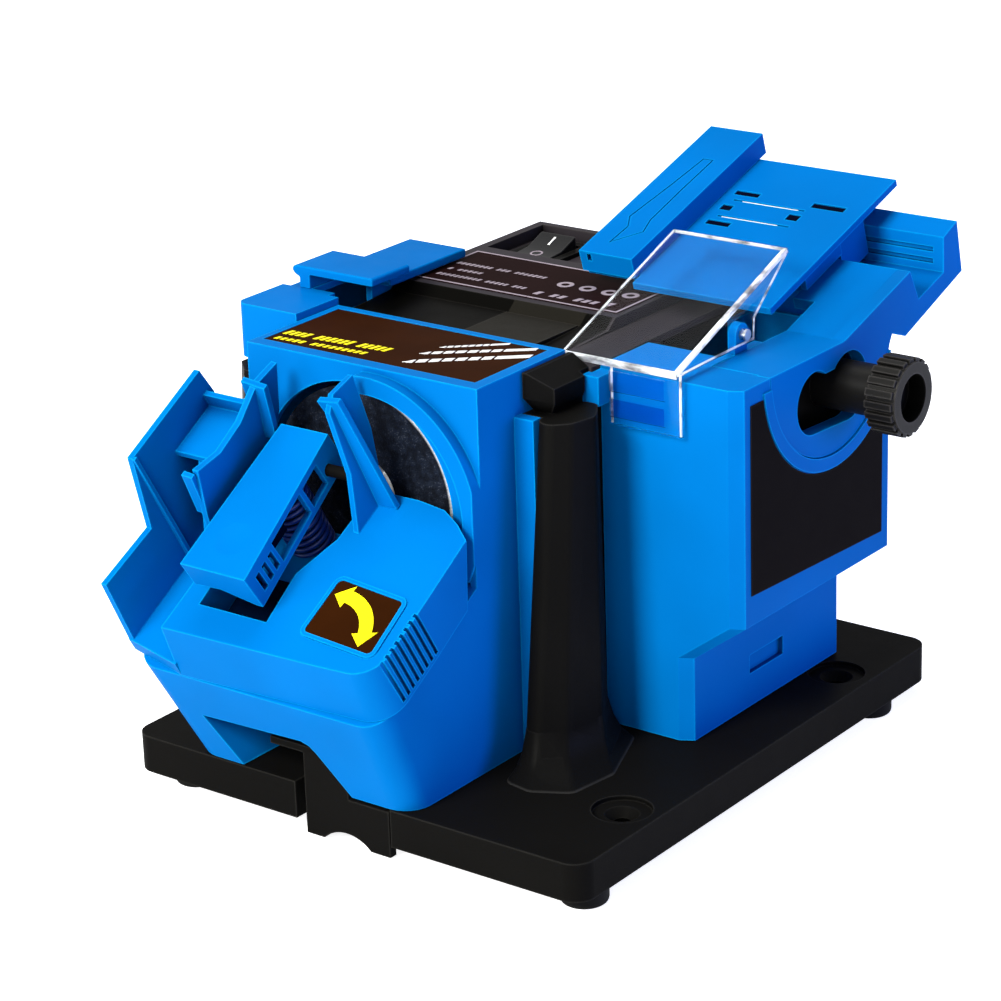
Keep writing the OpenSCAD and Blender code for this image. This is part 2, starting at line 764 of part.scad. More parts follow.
// Plan of the chisel head up to the given right side, inset by the given wall
module chisel_plan(right, t) {
    b = [bevel_x, bevel_y] - [0.4, 0.4] * t;
    polygon([[chisel_l + t, chisel_front + t], [right - t - b[0], chisel_front + t],
             [right - t, chisel_front + t + b[1]], [right - t, chisel_rear - t], [chisel_l + t, chisel_rear - t]]);
}

// The chisel head's body: a narrow foot, a sloping corbel and a wide upper part
module chisel_form(t, z0, z1) {
    translate([0, 0, z0]) linear_extrude(corbel_z0 - z0) chisel_plan(foot_x, t);
    hull() {
        translate([0, 0, corbel_z0 - tiny]) linear_extrude(tiny) chisel_plan(foot_x, t);
        translate([0, 0, corbel_z1]) linear_extrude(tiny) chisel_plan(chisel_r, t);
    }
    translate([0, 0, corbel_z1]) linear_extrude(z1 - corbel_z1) chisel_plan(chisel_r, t);
}

// Chisel head, open below, with the seat of the tilting table and the ears of the guard
module chisel_shell() {
    color(BLUE) difference() {
        union() {
            difference() {
                chisel_form(0, chisel_z, chisel_top);
                chisel_form(wall, chisel_z - 1, chisel_top - wall);
                block([chisel_l - 1, well_y, chisel_top - 3.8], [rib_x1 + 1, chisel_rear + 1, chisel_top + 2]);
                block([rib_x1 + 0.5, 6, chisel_top - 3.8], [chisel_r + 2, chisel_rear + 1, chisel_top + 2]);
                block([chisel_l - 1, well_y, rail_top + 6], [chisel_l + wall + 0.1, 60, chisel_top]);
            }
            intersection() {
                bar_x(chisel_r - wall, chisel_r + 0.7, tilt_y, tilt_z, cheek_r + 4.8);
                block([chisel_r - wall, -2, 90], [chisel_r + 1, chisel_rear, chisel_top - 3.8]);
            }
            block([post_r + 0.4, lug_y, lug_z], [lug_r, house_front - 0.4, chisel_top - 0.8]);
            block([chisel_l + 0.1, lug_y, lug_z], [lug_r, chisel_front + 0.1, chisel_top - 0.8]);
            block([rib_x0, chisel_front + 1, 100], [rib_x1, 66, 134]);
            block([rib_x0, chisel_front + 1, 133.9], [rib_x1, 36, chisel_top - 0.4]);
            block([rib_x0, hinge_y - 3.6, 139], [rib_x1, hinge_y + 3.6, hinge_z]);
            bar_x(rib_x0, rib_x1, hinge_y, hinge_z, 3.6);
            bar_x(rib_x1 - 0.1, liner_x - 0.2, knob_y, knob_z, 8);
        }
        bar_x(cheek_x - 1.2, chisel_r + 3, tilt_y, tilt_z, cheek_r + cheek_gap);
        block([chisel_l - 1, rail_y - 4.4, chisel_z - 1], [chisel_l + wall + 0.6, rail_y + 4.4, rail_top + 2]);
        bar_x(rib_x0 - 1, cheek_x - 1, knob_y, knob_z, 3 + run);
        bar_x(rib_x0 - 1, rib_x1 + 1, hinge_y, hinge_z, hinge_r);
        block([foot_x - 1.8, 23, 30], [foot_x + 1, 43, 36.4]);
    }
}

// Dark plate behind the slot that the lock knob's neck runs in
module slot_liner() {
    color(BLACK) difference() {
        block([liner_x, 14, 108], [liner_x + liner_t, 66, 129.5]);
        bar_x(liner_x - 1, liner_x + liner_t + 1, knob_y, knob_z, 3 + gap);
    }
}

// Dark panel on the chisel head's right face
module side_panel() {
    color(BLACK) difference() {
        along_x(chisel_r, chisel_r + 0.4)
            polygon([[chisel_front + 5.6, 71.4], [chisel_rear - 4.4, 67.8], [chisel_rear - 4.4, 121.5],
                     [chisel_front + 15.8, 134.2], [chisel_front + 5.6, 134.2]]);
        bar_x(chisel_r - 1, chisel_r + 2, tilt_y, tilt_z, cheek_r + 5.1);
    }
}

// Tilting table: a round cheek on the right, a sloping plate and a grooved rail at its rear
module tilt_table() {
    color(BLUE) difference() {
        union() {
            intersection() {
                bar_x(cheek_x, chisel_r, tilt_y, tilt_z, cheek_r);
                block([cheek_x - 1, 0, 100], [chisel_r + 1, 80, chisel_top]);
            }
            along_x(cheek_x, chisel_r)
                polygon([[30, 138], [49.8, 140.2], [90, 152.7], [95.6, 141.9], [111.8, 146.8], [111.4, 158.9],
                         [120.1, 162.4], [124, 144.3], [87.3, 131.3], [78.8, 134.5], [76.2, 129.6], [60, 128]]);
            block([66.3, 6.2, chisel_top - 3.4], [cheek_x + 0.1, 52, chisel_top]);
            on_table() {
                block([66.3, -0.6, -4], [cheek_x + 0.1, 42, 0]);
                block([58, 17, -4], [66.4, 42, 0]);
            }
            along_x(36.6, cheek_x + 0.1)
                polygon([[84, 147], [90, 152.7], [95.6, 141.9], [111.8, 146.8], [111.4, 158.9], [120.1, 162.4],
                         [124, 144.3], [87.3, 131.3], [82, 142]]);
        }
        for (p = [[110.6, 149.4], [110.4, 153.4]])
            along_x(36, chisel_r - 4) translate(p) square([2.2, 1.6]);
        along_x(cheek_x - 1, chisel_r + 1) {
            translate([31.2, 124.4]) circle(r = 10.3);
            translate([48.5, 123.1]) circle(r = neck_hole);
            translate([knob_y, knob_z]) circle(r = neck_hole + 1.6);
            polygon([[31.2, 114.1], [48.5, 113.2], [knob_y, 113], [knob_y, 132.4], [31.2, 132.4]]);
        }
    }
}

// Guide plate that slides along the table's rear groove
module guide_plate() {
    color(BLUE) on_table() difference() {
        union() {
            block([-11, -4, plate_o0], [64, 78, plate_o1]);
            block([36.6, 44.8, -9], [60, 60.8, plate_o0 + 0.1]);
            block([58.4, 22, gap], [60.6, 44.9, plate_o0 + 0.1]);
        }
        for (s = [[13.5, 55.4, 9.5, 2.1], [44.3, 54.7, 12.6, 2.3], [13.6, 45.5, 4.2, 2.7], [39.6, 45.6, 4.6, 3],
                  [13.8, 36.1, 9.2, 2.2]])
            translate([s[0], s[1] - 0.3, plate_o0 - 3]) cube([s[2], s[3] + 0.6, 8]);
        for (t = [41, 51.4])
            translate([15.5, t, plate_o1 - 0.6]) cube([28, 0.9, 3]);
        block([-9, 32, plate_o0 - 1], [9, 38, plate_o1 + 1]);
        block([-12, -5, plate_o0 - 1], [10.6, 1, plate_o1 + 1]);
    }
}

// Fence bar that the chisel is laid against
module fence_bar() {
    color(BLUE) on_table() difference() {
        union() {
            block([-11, -1.6, fence_o0], [10.2, 82, fence_o1]);
            block([-3.5, 32.5, plate_o0 - 1.2], [3.5, 37.5, fence_o0 + 0.1]);
        }
        block([-8, -2, fence_o1 - 3.4], [-6.4, 0, fence_o1 - 0.8]);
        for (i = [0:len(sign) - 2])
            groove(sign[i], sign[i + 1]);
    }
}

// Corners of a chisel's outline, engraved on the fence
sign = [[-3.4, 6], [4.4, 14.6], [2.6, 22], [2.4, 44], [2.6, 61.6], [-1.2, 61.6], [-3, 44], [-5.8, 22], [-2.8, 16.4], [-3.4, 6]];

// A straight groove between two places on the fence's upper face
module groove(a, b) {
    d = b - a;
    translate([a[0], a[1], fence_o1 - 0.4]) rotate([0, 0, atan2(d[1], d[0])])
        translate([-0.25, -0.25, 0]) cube([norm(d) + 0.5, 0.5, 2]);
}

// Clear guard: a sloping window with a side wall and a front flap
module clear_guard() {
    top_a = 20.9;
    color(CLEAR) difference() {
        union() {
            translate([23.6, -15.4, 142.1]) rotate([top_a, 0, 0]) cube([43.8, 68.6, 1.6]);
            along_x(65.8, 67.4)
                polygon([[-15.4, 142.3], [28.4, 142.9], [28.9, 150], [48.2, 166.4], [47.6, 166.8], [-15.2, 142.8]]);
            block([lug_r + 0.6, -14.6, 122.6], [68.2, -13, 143.3]);
            block([lug_r + 0.6, -15.2, 133.6], [62.5, -14.5, 140.4]);
            block([lug_r + 0.6, -15.2, 125.2], [62.5, -14.5, 131.4]);
        }
        bar_x(60, 70, hinge_y, hinge_z, hinge_r + run);
        block([23, -20, 100], [70, -15.8, 160]);
    }
}

// Hinge pin of the guard
module guard_pin() {
    color(STEEL) bar_x(rib_x0, 68.2, hinge_y, hinge_z, hinge_r);
}

// Lock knob with a ribbed grip, a hollow end and a neck
module lock_knob() {
    color(BLACK) difference() {
        union() {
            bar_x(knob_end - knob_l, knob_end, knob_y, knob_z, knob_r - 1.2);
            for (i = [0:19])
                translate([knob_end - knob_l, knob_y, knob_z]) rotate([i * 18, 0, 0])
                    translate([0, knob_r - 3, -1.2]) cube([knob_l - 0.8, 3, 2.4]);
            bar_x(liner_x + liner_t + gap, knob_end - knob_l + 0.1, knob_y, knob_z, neck_r);
        }
        bar_x(knob_end - 6.4, knob_end + 1, knob_y, knob_z, 7.8);
        bar_x(liner_x, stud_end, knob_y, knob_z, 3);
    }
}

// Threaded stud of the lock knob
module knob_stud() {
    color(STEEL) bar_x(66, stud_end, knob_y, knob_z, 3);
}

// Plan of the knife head's shoulder, inset by the given wall
module shoulder_plan(t) {
    r = knife_corner - t;
    x = knife_l + knife_corner;
    y = knife_nose + knife_corner;
    right = drill_l - 0.6 - t;
    polygon(concat([for (a = [180:15:270]) [x + r * cos(a), y + r * sin(a)]],
                   [[right, knife_nose + t], [right, house_front - 0.4 - t], [knife_r - t, house_front - 0.4 - t],
                    [knife_r - t, knife_front + 0.1 - t], [knife_l + t, knife_front + 0.1 - t]]));
}

// Knife head: a hollow body beside the housing with a shoulder over the left post
module knife_shell() {
    color(BLUE) difference() {
        union() {
            block([knife_l + knife_step, knife_front, plate_top + gap], [knife_r, knife_rear, knife_top]);
            translate([0, 0, shoulder_z]) linear_extrude(knife_top - shoulder_z) shoulder_plan(0);
        }
        block([knife_l + knife_step + wall, knife_front + wall, plate_top - 1],
              [knife_r - wall, knife_rear - wall, knife_top - wall]);
        translate([0, 0, shoulder_z - 1]) linear_extrude(knife_top - wall - shoulder_z + 1) shoulder_plan(wall);
        block([-80, -13.2, 139], [knife_r + 1, 6, knife_top + 1]);
        block([knife_r - wall - 0.6, rail_y - 4.4, plate_top - 1], [knife_r + 1, rail_y + 4.4, rail_top + 2]);
    }
}

// Lip over the knife slot
module knife_lip() {
    color(BLUE) along_y(-14, 6)
        polygon([[-87.6, 153.2], [-86.6, 152], [-84.6, 151], [-84.6, knife_top], [-80.2, knife_top], [-80.2, 152.2],
                 [-53.4, 152.2], [-53.4, 154.4], [-54, 155], [-86.2, 155], [-87.3, 154.3]]);
}

// Slab behind the knife slot
module knife_rear_slab() {
    color(BLUE) {
        block([-86.5, 6, knife_top], [-62, knife_rear, knife_top + 1.4]);
        block([knife_r + 0.2, 6, knife_top - 1.7], [-62, knife_rear, knife_top + 0.1]);
    }
}

base_plate();
rubber_feet();
motor_housing();
guide_post_right();
guide_post_left();
top_cover();
rating_label();
switch_frame();
switch_rocker();
motor_can();
shaft_bearings();
motor_cradle();
cord_gland();
housing_screws();
head_rails();
motor_shaft();
armature();
cooling_fan();
wheel_flanges();
grinding_wheel();
wheel_nut();
head_latch();
latch_pin();
drill_shell();
drill_label();
swing_stud();
holder_block();
guide_wall();
left_fin();
right_fin();
turn_label();
clamp_pin();
clamp_lever();
clamp_spring();
chisel_shell();
slot_liner();
side_panel();
tilt_table();
guide_plate();
fence_bar();
clear_guard();
guard_pin();
lock_knob();
knob_stud();
knife_shell();
knife_lip();
knife_rear_slab();
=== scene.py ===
"""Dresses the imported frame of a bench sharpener: finishes, soft edges, spring, labels, camera and studio."""

from __future__ import annotations

import json
import logging
import math
from dataclasses import dataclass, field
from enum import Enum
from typing import Any

import bpy
import numpy as np
from mathutils import Matrix, Vector

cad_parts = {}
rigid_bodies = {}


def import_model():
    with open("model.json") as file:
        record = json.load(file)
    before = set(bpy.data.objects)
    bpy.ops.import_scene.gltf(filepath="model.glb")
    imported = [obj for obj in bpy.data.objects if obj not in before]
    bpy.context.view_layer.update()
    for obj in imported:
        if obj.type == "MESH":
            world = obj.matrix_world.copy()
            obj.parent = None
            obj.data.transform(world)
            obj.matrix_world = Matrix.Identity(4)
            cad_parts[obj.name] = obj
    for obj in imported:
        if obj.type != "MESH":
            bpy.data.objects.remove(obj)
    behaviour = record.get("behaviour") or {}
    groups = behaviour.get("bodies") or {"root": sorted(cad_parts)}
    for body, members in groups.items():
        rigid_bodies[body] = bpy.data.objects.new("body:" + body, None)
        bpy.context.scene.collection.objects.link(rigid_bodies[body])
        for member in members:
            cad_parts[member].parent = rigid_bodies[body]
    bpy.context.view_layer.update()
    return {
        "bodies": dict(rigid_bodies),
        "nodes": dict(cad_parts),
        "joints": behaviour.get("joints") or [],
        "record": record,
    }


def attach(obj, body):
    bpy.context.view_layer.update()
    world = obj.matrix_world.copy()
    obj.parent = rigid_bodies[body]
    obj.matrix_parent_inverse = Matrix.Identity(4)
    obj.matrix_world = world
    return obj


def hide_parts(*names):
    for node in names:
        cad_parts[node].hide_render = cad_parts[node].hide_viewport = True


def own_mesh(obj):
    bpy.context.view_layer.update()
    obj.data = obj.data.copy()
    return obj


LOG = logging.getLogger("sharpener")
MM = 0.001
Rgb = tuple[float, float, float]
Point = tuple[float, float, float]
Pair = tuple[float, float]
Plan = tuple[float, float, float, float]
OPAQUE_WHITE = (1.0, 1.0, 1.0, 1.0)


class Value:
    """A shader socket that takes part in Python expressions."""

    def __init__(self, graph: "Graph", socket: bpy.types.NodeSocket) -> None:
        """Keeps the socket and the graph that it belongs to."""
        self.graph = graph
        self.socket = socket

    def _math(self, operation: str, first: Any, second: Any) -> "Value":
        """Adds one Math node and returns its result."""
        return self.graph.node("ShaderNodeMath", {"operation": operation}, {0: first, 1: second})

    def __add__(self, other: Any) -> "Value":
        """Sum of two values."""
        return self._math("ADD", self, other)

    def __radd__(self, other: Any) -> "Value":
        """Sum with a number on the left."""
        return self._math("ADD", other, self)

    def __sub__(self, other: Any) -> "Value":
        """Difference of two values."""
        return self._math("SUBTRACT", self, other)

    def __rsub__(self, other: Any) -> "Value":
        """Difference with a number on the left."""
        return self._math("SUBTRACT", other, self)

    def __mul__(self, other: Any) -> "Value":
        """Product of two values."""
        return self._math("MULTIPLY", self, other)

    def __rmul__(self, other: Any) -> "Value":
        """Product with a number on the left."""
        return self._math("MULTIPLY", other, self)

    def most(self, other: Any) -> "Value":
        """The larger of two values."""
        return self._math("MAXIMUM", self, other)

    def root(self) -> "Value":
        """Square root of a value."""
        return self._math("SQRT", self, 0.0)

    def step(self, low: float, high: float) -> "Value":
        """A smooth step that is 0 below low and 1 above high."""
        settings = {"interpolation_type": "SMOOTHSTEP", "clamp": True}
        return self.graph.node("ShaderNodeMapRange", settings, {0: self, 1: low, 2: high, 3: 0.0, 4: 1.0})


class Graph:
    """The node graph of one material or world, with a single method that adds any node."""

    def __init__(self, name: str, world: bpy.types.World | None = None) -> None:
        """Takes the given world, or a new material of that name, and empties its nodes."""
        self.owner = world or bpy.data.materials.new(name)
        self.owner.use_nodes = True
        self.tree = self.owner.node_tree
        self.tree.nodes.clear()

    def node(self, kind: str, settings: dict[str, Any] | None = None, sockets: dict[Any, Any] | None = None,
             out: Any = 0) -> Value:
        """Adds a node.

        Args:
            kind: Blender's name of the node type.
            settings: properties of the node, which are set first.
            sockets: values or links by socket name or number.
            out: name or number of the output that is returned.

        Returns:
            The wrapped output socket.
        """
        made = self.tree.nodes.new(kind)
        for key, value in (settings or {}).items():
            setattr(made, key, value)
        for key, value in (sockets or {}).items():
            if isinstance(value, Value):
                self.tree.links.new(value.socket, made.inputs[key])
            else:
                made.inputs[key].default_value = value
        return Value(self, made.outputs[out]) if made.outputs else Value(self, None)

    def place(self) -> Value:
        """Object coordinates."""
        return self.node("ShaderNodeTexCoord", out="Object")

    def axes(self) -> tuple[Value, Value, Value]:
        """The three object coordinates as numbers, in metres."""
        return tuple(self.node("ShaderNodeSeparateXYZ", None, {0: self.place()}, out=axis) for axis in "XYZ")

    def noise(self, scale: float, detail: float = 3.0, stretch: Point = (1.0, 1.0, 1.0)) -> Value:
        """Noise on object coordinates.

        Args:
            scale: how many cells there are in a metre.
            detail: number of finer layers.
            stretch: scale along each axis.

        Returns:
            A value around 0.5.
        """
        where = self.node("ShaderNodeMapping", None, {"Vector": self.place(), "Scale": stretch})
        return self.node("ShaderNodeTexNoise", None, {"Vector": where, "Scale": scale, "Detail": detail})

    def blend(self, factor: Value | float, first: Any, second: Any) -> Value:
        """Colour between first and second by factor."""
        pair = [c if isinstance(c, Value) else (*c, 1.0) for c in (first, second)]
        return self.node("ShaderNodeMix", {"data_type": "RGBA"}, {0: factor, 6: pair[0], 7: pair[1]}, out=2)

    def drift(self, colour: Rgb, share: float, cells: float, detail: float = 3.0, full: float = 0.7) -> Value:
        """Slow changes between a share of a colour and the whole of it.

        Args:
            colour: the whole colour.
            share: what is left of it where it is darkest.
            cells: how many cells of noise there are in a metre.
            detail: number of finer layers.
            full: the noise from which the colour is whole.

        Returns:
            The changing colour.
        """
        darker = tuple(share * c for c in colour)
        return self.blend(self.noise(cells, detail).step(0.3, full), darker, colour)

    def bump(self, height: Value, depth: float, strength: float) -> Value:
        """A normal from a height between 0 and 1, depth metres deep."""
        return self.node("ShaderNodeBump", None, {"Height": height, "Distance": depth, "Strength": strength})

    def shown(self) -> Value:
        """1 for the rays of the camera, of mirrors and through clear plastic, and 0 for all others."""
        camera, glossy, through = [self.node("ShaderNodeLightPath", out=f"Is {kind} Ray")
                                   for kind in ("Camera", "Glossy", "Transmission")]
        return camera.most(glossy).most(through)

    def edge(self, radius: float) -> Value:
        """How close a point is to a sharp edge: 0 on a flat face, rising towards 1 at an edge."""
        soft = self.node("ShaderNodeBevel", {"samples": 6}, {"Radius": radius})
        flat = self.node("ShaderNodeNewGeometry", out="Normal")
        dot = self.node("ShaderNodeVectorMath", {"operation": "DOT_PRODUCT"}, {0: soft, 1: flat}, out="Value")
        return (1.0 - dot).step(0.004, 0.16)

    def dress(self, sockets: dict[str, Any]) -> bpy.types.Material:
        """Adds the Principled shader with these sockets and returns the finished material."""
        shader = self.node("ShaderNodeBsdfPrincipled", None, sockets)
        self.node("ShaderNodeOutputMaterial", None, {"Surface": shader})
        return self.owner


@dataclass(frozen=True)
class MouldedPlastic:
    """Injection-moulded plastic: a fine grain, slow changes of tone, painted highlights along the edges and
    painted shade in its own hollows.
    """

    name: str
    colour: Rgb
    edge_highlight_colour: Rgb
    edge_highlight_share: float = 0.5
    roughness: float = 0.38
    grain: float = 0.00003
    specular: float = 0.5
    deep: Rgb = (0.0, 0.0, 0.0)
    hollow_shade_reach: float = 16.0 * MM
    edge_highlight_reach: float = 1.1 * MM
    tone_dip: float = 0.86
    tone_cells: float = 18.0
    smear_cells: float = 140.0
    grain_cells: float = 1900.0

    def tone(self, g: Graph) -> Value:
        """Slow changes between the colour and a darker one."""
        return g.drift(self.colour, self.tone_dip, self.tone_cells, 2.0)

    def material(self) -> bpy.types.Material:
        """Builds the material: grain as bump, noise in tone and roughness, painted edge highlights and painted
        shade in hollows.
        """
        g = Graph(self.name)
        fine = g.noise(self.grain_cells, 2.0)
        smear = g.noise(self.smear_cells, 3.0)
        # painted highlight: near sharp edges the base colour is lightened towards the edge colour, where light
        # catches the edges
        edge_highlight = g.edge(self.edge_highlight_reach) * (0.6 + 0.8 * smear)
        lit = g.blend(edge_highlight * self.edge_highlight_share, self.tone(g), self.edge_highlight_colour)
        # painted shade: hollows of the part's own mesh are darkened towards the hollow shade colour by ambient
        # occlusion
        hollow_shade_mask = g.node("ShaderNodeAmbientOcclusion", {"samples": 8, "only_local": True},
                          {"Distance": self.hollow_shade_reach}, out="AO")
        base = g.blend(hollow_shade_mask.step(0.1, 0.8), self.deep, lit)
        rough = self.roughness + 0.12 * (smear - 0.5) + 0.1 * (fine - 0.5)
        return g.dress({"Base Color": base, "Roughness": rough, "Specular IOR Level": self.specular,
                        "Normal": g.bump(fine, self.grain, 0.6)})


@dataclass(frozen=True)
class CoverPlastic(MouldedPlastic):
    """The cover's plastic: a raised panel lightened by painted sheen in a darker field, and a rear and right
    side paled by painted sheen.
    """

    field_colour: Rgb = (0.0016, 0.0015, 0.0012)
    rear_sheen_colour: Rgb = (0.026, 0.0225, 0.0265)
    panel: Plan = (-20.0, -12.0, 9.0, 19.2)
    field_right: float = 19.4
    field_rear: float = 19.2
    soft: float = 0.1

    def past(self, where: Value, edge: float) -> Value:
        """0 below an edge in millimetres and 1 above it."""
        return where.step((edge - self.soft) * MM, (edge + self.soft) * MM)

    def tone(self, g: Graph) -> Value:
        """The colour on the panel's plan, a second one in the field, and a third elsewhere; the lighter panel
        and the paler rest are painted sheen.
        """
        x, y, _ = g.axes()
        left, front, right, rear = self.panel
        across = self.past(x, left) - self.past(x, right)
        along = self.past(y, front) - self.past(y, rear)
        in_field = (1.0 - self.past(x, self.field_right)) * (1.0 - self.past(y, self.field_rear))
        # painted sheen: the panel and the rear and right side are lighter than the dark field
        around = g.blend(in_field, self.rear_sheen_colour, self.field_colour)
        return g.blend(across * along, around, MouldedPlastic.tone(self, g))


@dataclass(frozen=True)
class GrittyStone:
    """Bonded abrasive: dark grey with bright grains, and a painted highlight ring on the right of its rim."""

    name: str
    axis_x: float
    axis_z: float
    rim: float
    rim_highlight_start: float = 1.4 * MM
    rim_highlight_full: float = 0.5 * MM
    rim_highlight_side: Pair = (-8.0 * MM, 12.0 * MM)
    grit_cells: float = 1500.0
    cloud_cells: float = 420.0
    dark: tuple[Rgb, Rgb] = ((0.001, 0.002, 0.005), (0.005, 0.008, 0.016))
    bright: Rgb = (0.12, 0.13, 0.16)
    rim_highlight_colour: Rgb = (0.6, 0.62, 0.66)

    def material(self) -> bpy.types.Material:
        """Builds the material: two sizes of grain, and a painted highlight ring by distance from the axis, on
        the right side only.
        """
        g = Graph(self.name)
        x, _, z = g.axes()
        across, above = x - self.axis_x, z - self.axis_z
        away = (across * across + above * above).root()
        # painted highlight: the ring near the rim, on its right side only, is pale, smoother and partly
        # metallic
        ring = away.step(self.rim - self.rim_highlight_start, self.rim - self.rim_highlight_full) * across.step(*self.rim_highlight_side)
        grit = g.node("ShaderNodeTexVoronoi", None, {"Vector": g.place(), "Scale": self.grit_cells})
        cloud = g.noise(self.cloud_cells, 4.0)
        ground = g.blend(cloud.step(0.35, 0.7), *self.dark)
        spark = (1.0 - grit).step(0.62, 0.9) * cloud.step(0.48, 0.65)
        speckled = g.blend(spark * 0.3, ground, self.bright)
        base = g.blend(ring * (0.45 + 0.5 * cloud), speckled, self.rim_highlight_colour)
        return g.dress({"Base Color": base, "Roughness": 0.7 - 0.3 * ring, "Metallic": ring * 0.4,
                        "Specular IOR Level": 0.08, "Normal": g.bump(grit, 0.25 * MM, 0.8)})


@dataclass(frozen=True)
class BrushedSteel:
    """Turned or drawn steel with fine marks along one axis."""

    name: str
    colour: Rgb = (0.6, 0.61, 0.63)
    stretch: Point = (40.0, 2.0, 40.0)
    mark_cells: float = 60.0
    tone_cells: float = 90.0
    tone_dip: float = 0.8

    def material(self) -> bpy.types.Material:
        """Builds the material: stretched noise in roughness and bump."""
        g = Graph(self.name)
        marks = g.noise(self.mark_cells, 4.0, self.stretch)
        tone = g.drift(self.colour, self.tone_dip, self.tone_cells, full=0.75)
        return g.dress({"Base Color": tone, "Metallic": 1.0, "Roughness": 0.24 + 0.22 * marks,
                        "Normal": g.bump(marks, 0.00002, 0.5)})


@dataclass(frozen=True)
class PrintedFilm:
    """Printed label film: an even colour with a faint speck and a soft gloss."""

    name: str
    colour: Rgb
    roughness: float = 0.5
    specular: float = 0.12
    tone_dip: float = 0.8
    tone_cells: float = 55.0
    grain_cells: float = 2600.0

    def material(self) -> bpy.types.Material:
        """Builds the material: slow tone changes and a very fine bump."""
        g = Graph(self.name)
        tone = g.drift(self.colour, self.tone_dip, self.tone_cells)
        fine = g.noise(self.grain_cells, 1.0)
        return g.dress({"Base Color": tone, "Roughness": self.roughness + 0.1 * (fine - 0.5),
                        "Specular IOR Level": self.specular, "Normal": g.bump(fine, 0.00001, 0.4)})


@dataclass(frozen=True)
class ClearPlastic:
    """Clear moulded plastic: see-through, with faint smears in its gloss."""

    name: str
    colour: Rgb = (0.93, 0.95, 0.98)
    bending: float = 1.12
    smear_cells: float = 60.0

    def material(self) -> bpy.types.Material:
        """Builds the material: full transmission with a little varying roughness."""
        g = Graph(self.name)
        smear = g.noise(self.smear_cells, 3.0)
        return g.dress({"Base Color": (*self.colour, 1.0), "Roughness": 0.004 + 0.02 * smear.step(0.45, 0.75),
                        "IOR": self.bending, "Transmission Weight": 1.0, "Specular IOR Level": 0.25})


@dataclass(frozen=True)
class EdgeGlintPaint:
    """Painted highlight for the cut edge of clear sheet: pale and dark streaks of painted reflection."""

    name: str
    pale: Rgb = (0.84, 0.87, 0.9)
    dark: Rgb = (0.2, 0.2, 0.22)
    streak_cells: float = 90.0
    stretch: Point = (1.0, 1.0, 2.5)

    def material(self) -> bpy.types.Material:
        """Builds the material: long streaks between the dark and the pale tone, and a smooth gloss."""
        g = Graph(self.name)
        streak = g.noise(self.streak_cells, 3.0, self.stretch)
        base = g.blend(streak.step(0.36, 0.56), self.dark, self.pale)
        return g.dress({"Base Color": base, "Roughness": 0.2 + 0.2 * streak, "Specular IOR Level": 0.4})


class Finish(Enum):
    """Every finish on the object."""

    # The second colour of each moulded plastic is its painted highlight along edges; the blue's last colour is
    # its painted shade in hollows.
    BLUE = MouldedPlastic("blue_plastic", (0.0, 0.13, 0.43), (0.001, 0.27, 0.62), 0.8, 0.45, 0.00003, 0.01,
                          (0.0, 0.012, 0.1))
    BLACK = MouldedPlastic("black_plastic", (0.0034, 0.0033, 0.0031), (0.03, 0.029, 0.027),
                           0.5, 0.46, 0.00005, 0.02)
    PLATE = MouldedPlastic("plate_plastic", (0.0042, 0.004, 0.0037), (0.03, 0.029, 0.026),
                           0.5, 0.46, 0.00005, 0.008)
    COVER = CoverPlastic("cover_plastic", (0.0105, 0.0096, 0.0075), (0.05, 0.047, 0.042),
                         0.5, 0.4, 0.00005, 0.012)
    ROCKER = MouldedPlastic("rocker_plastic", (0.0045, 0.0045, 0.005), (0.05, 0.05, 0.05),
                            0.4, 0.3, 0.00002, 0.1)
    KNOB = MouldedPlastic("knob_plastic", (0.004, 0.0038, 0.0037), (0.05, 0.047, 0.045),
                          0.6, 0.42, 0.00003, 0.08)
    RUBBER = MouldedPlastic("rubber", (0.006, 0.006, 0.006), (0.02, 0.02, 0.02), 0.3, 0.75, 0.00008, 0.06)
    PANEL = MouldedPlastic("panel", (0.0042, 0.0033, 0.0038), (0.03, 0.026, 0.025),
                           0.4, 0.5, 0.00003, 0.006)
    LABEL = PrintedFilm("label", (0.022, 0.006, 0.0012), 0.5, 0.005)
    RATING = PrintedFilm("rating_film", (0.01, 0.0038, 0.0038), 0.5, 0.005)
    YELLOW = PrintedFilm("yellow_print", (0.9, 0.76, 0.004))
    WHITE = PrintedFilm("white_print", (0.8, 0.8, 0.78))
    GREY = PrintedFilm("grey_print", (0.3, 0.25, 0.29))
    # painted highlight, for the pale edges of the clear guard
    EDGE_GLINT = EdgeGlintPaint("painted_edge_glint")
    STEEL = BrushedSteel("steel")
    SPRING = MouldedPlastic("spring_wire", (0.002, 0.02, 0.16), (0.02, 0.1, 0.4),
                            0.3, 0.35, 0.00002, 0.3)
    # painted shade, for dark floors put in the guide plate's slots
    HOLE = PrintedFilm("painted_slot_shade", (0.002, 0.003, 0.012), 0.8, 0.0)
    # painted shade, for dark floors put in hollows
    DEEP = PrintedFilm("painted_shade_floor", (0.0006, 0.0036, 0.016), 0.8, 0.0)
    STONE = GrittyStone("abrasive", -22.6 * MM, 100.6 * MM, 36.0 * MM)
    CLEAR = ClearPlastic("clear_plastic")
    TINT = ClearPlastic("tinted_pane", (0.7, 0.74, 0.95))
    DEEP_TINT = ClearPlastic("deep_pane", (0.5, 0.52, 0.82))


class Paint:
    """Makes each finish's material once."""

    def __init__(self) -> None:
        """Starts with no materials."""
        self.made: dict[Finish, bpy.types.Material] = {}

    def get(self, finish: Finish) -> bpy.types.Material:
        """The material of a finish."""
        if finish not in self.made:
            self.made[finish] = finish.value.material()
        return self.made[finish]


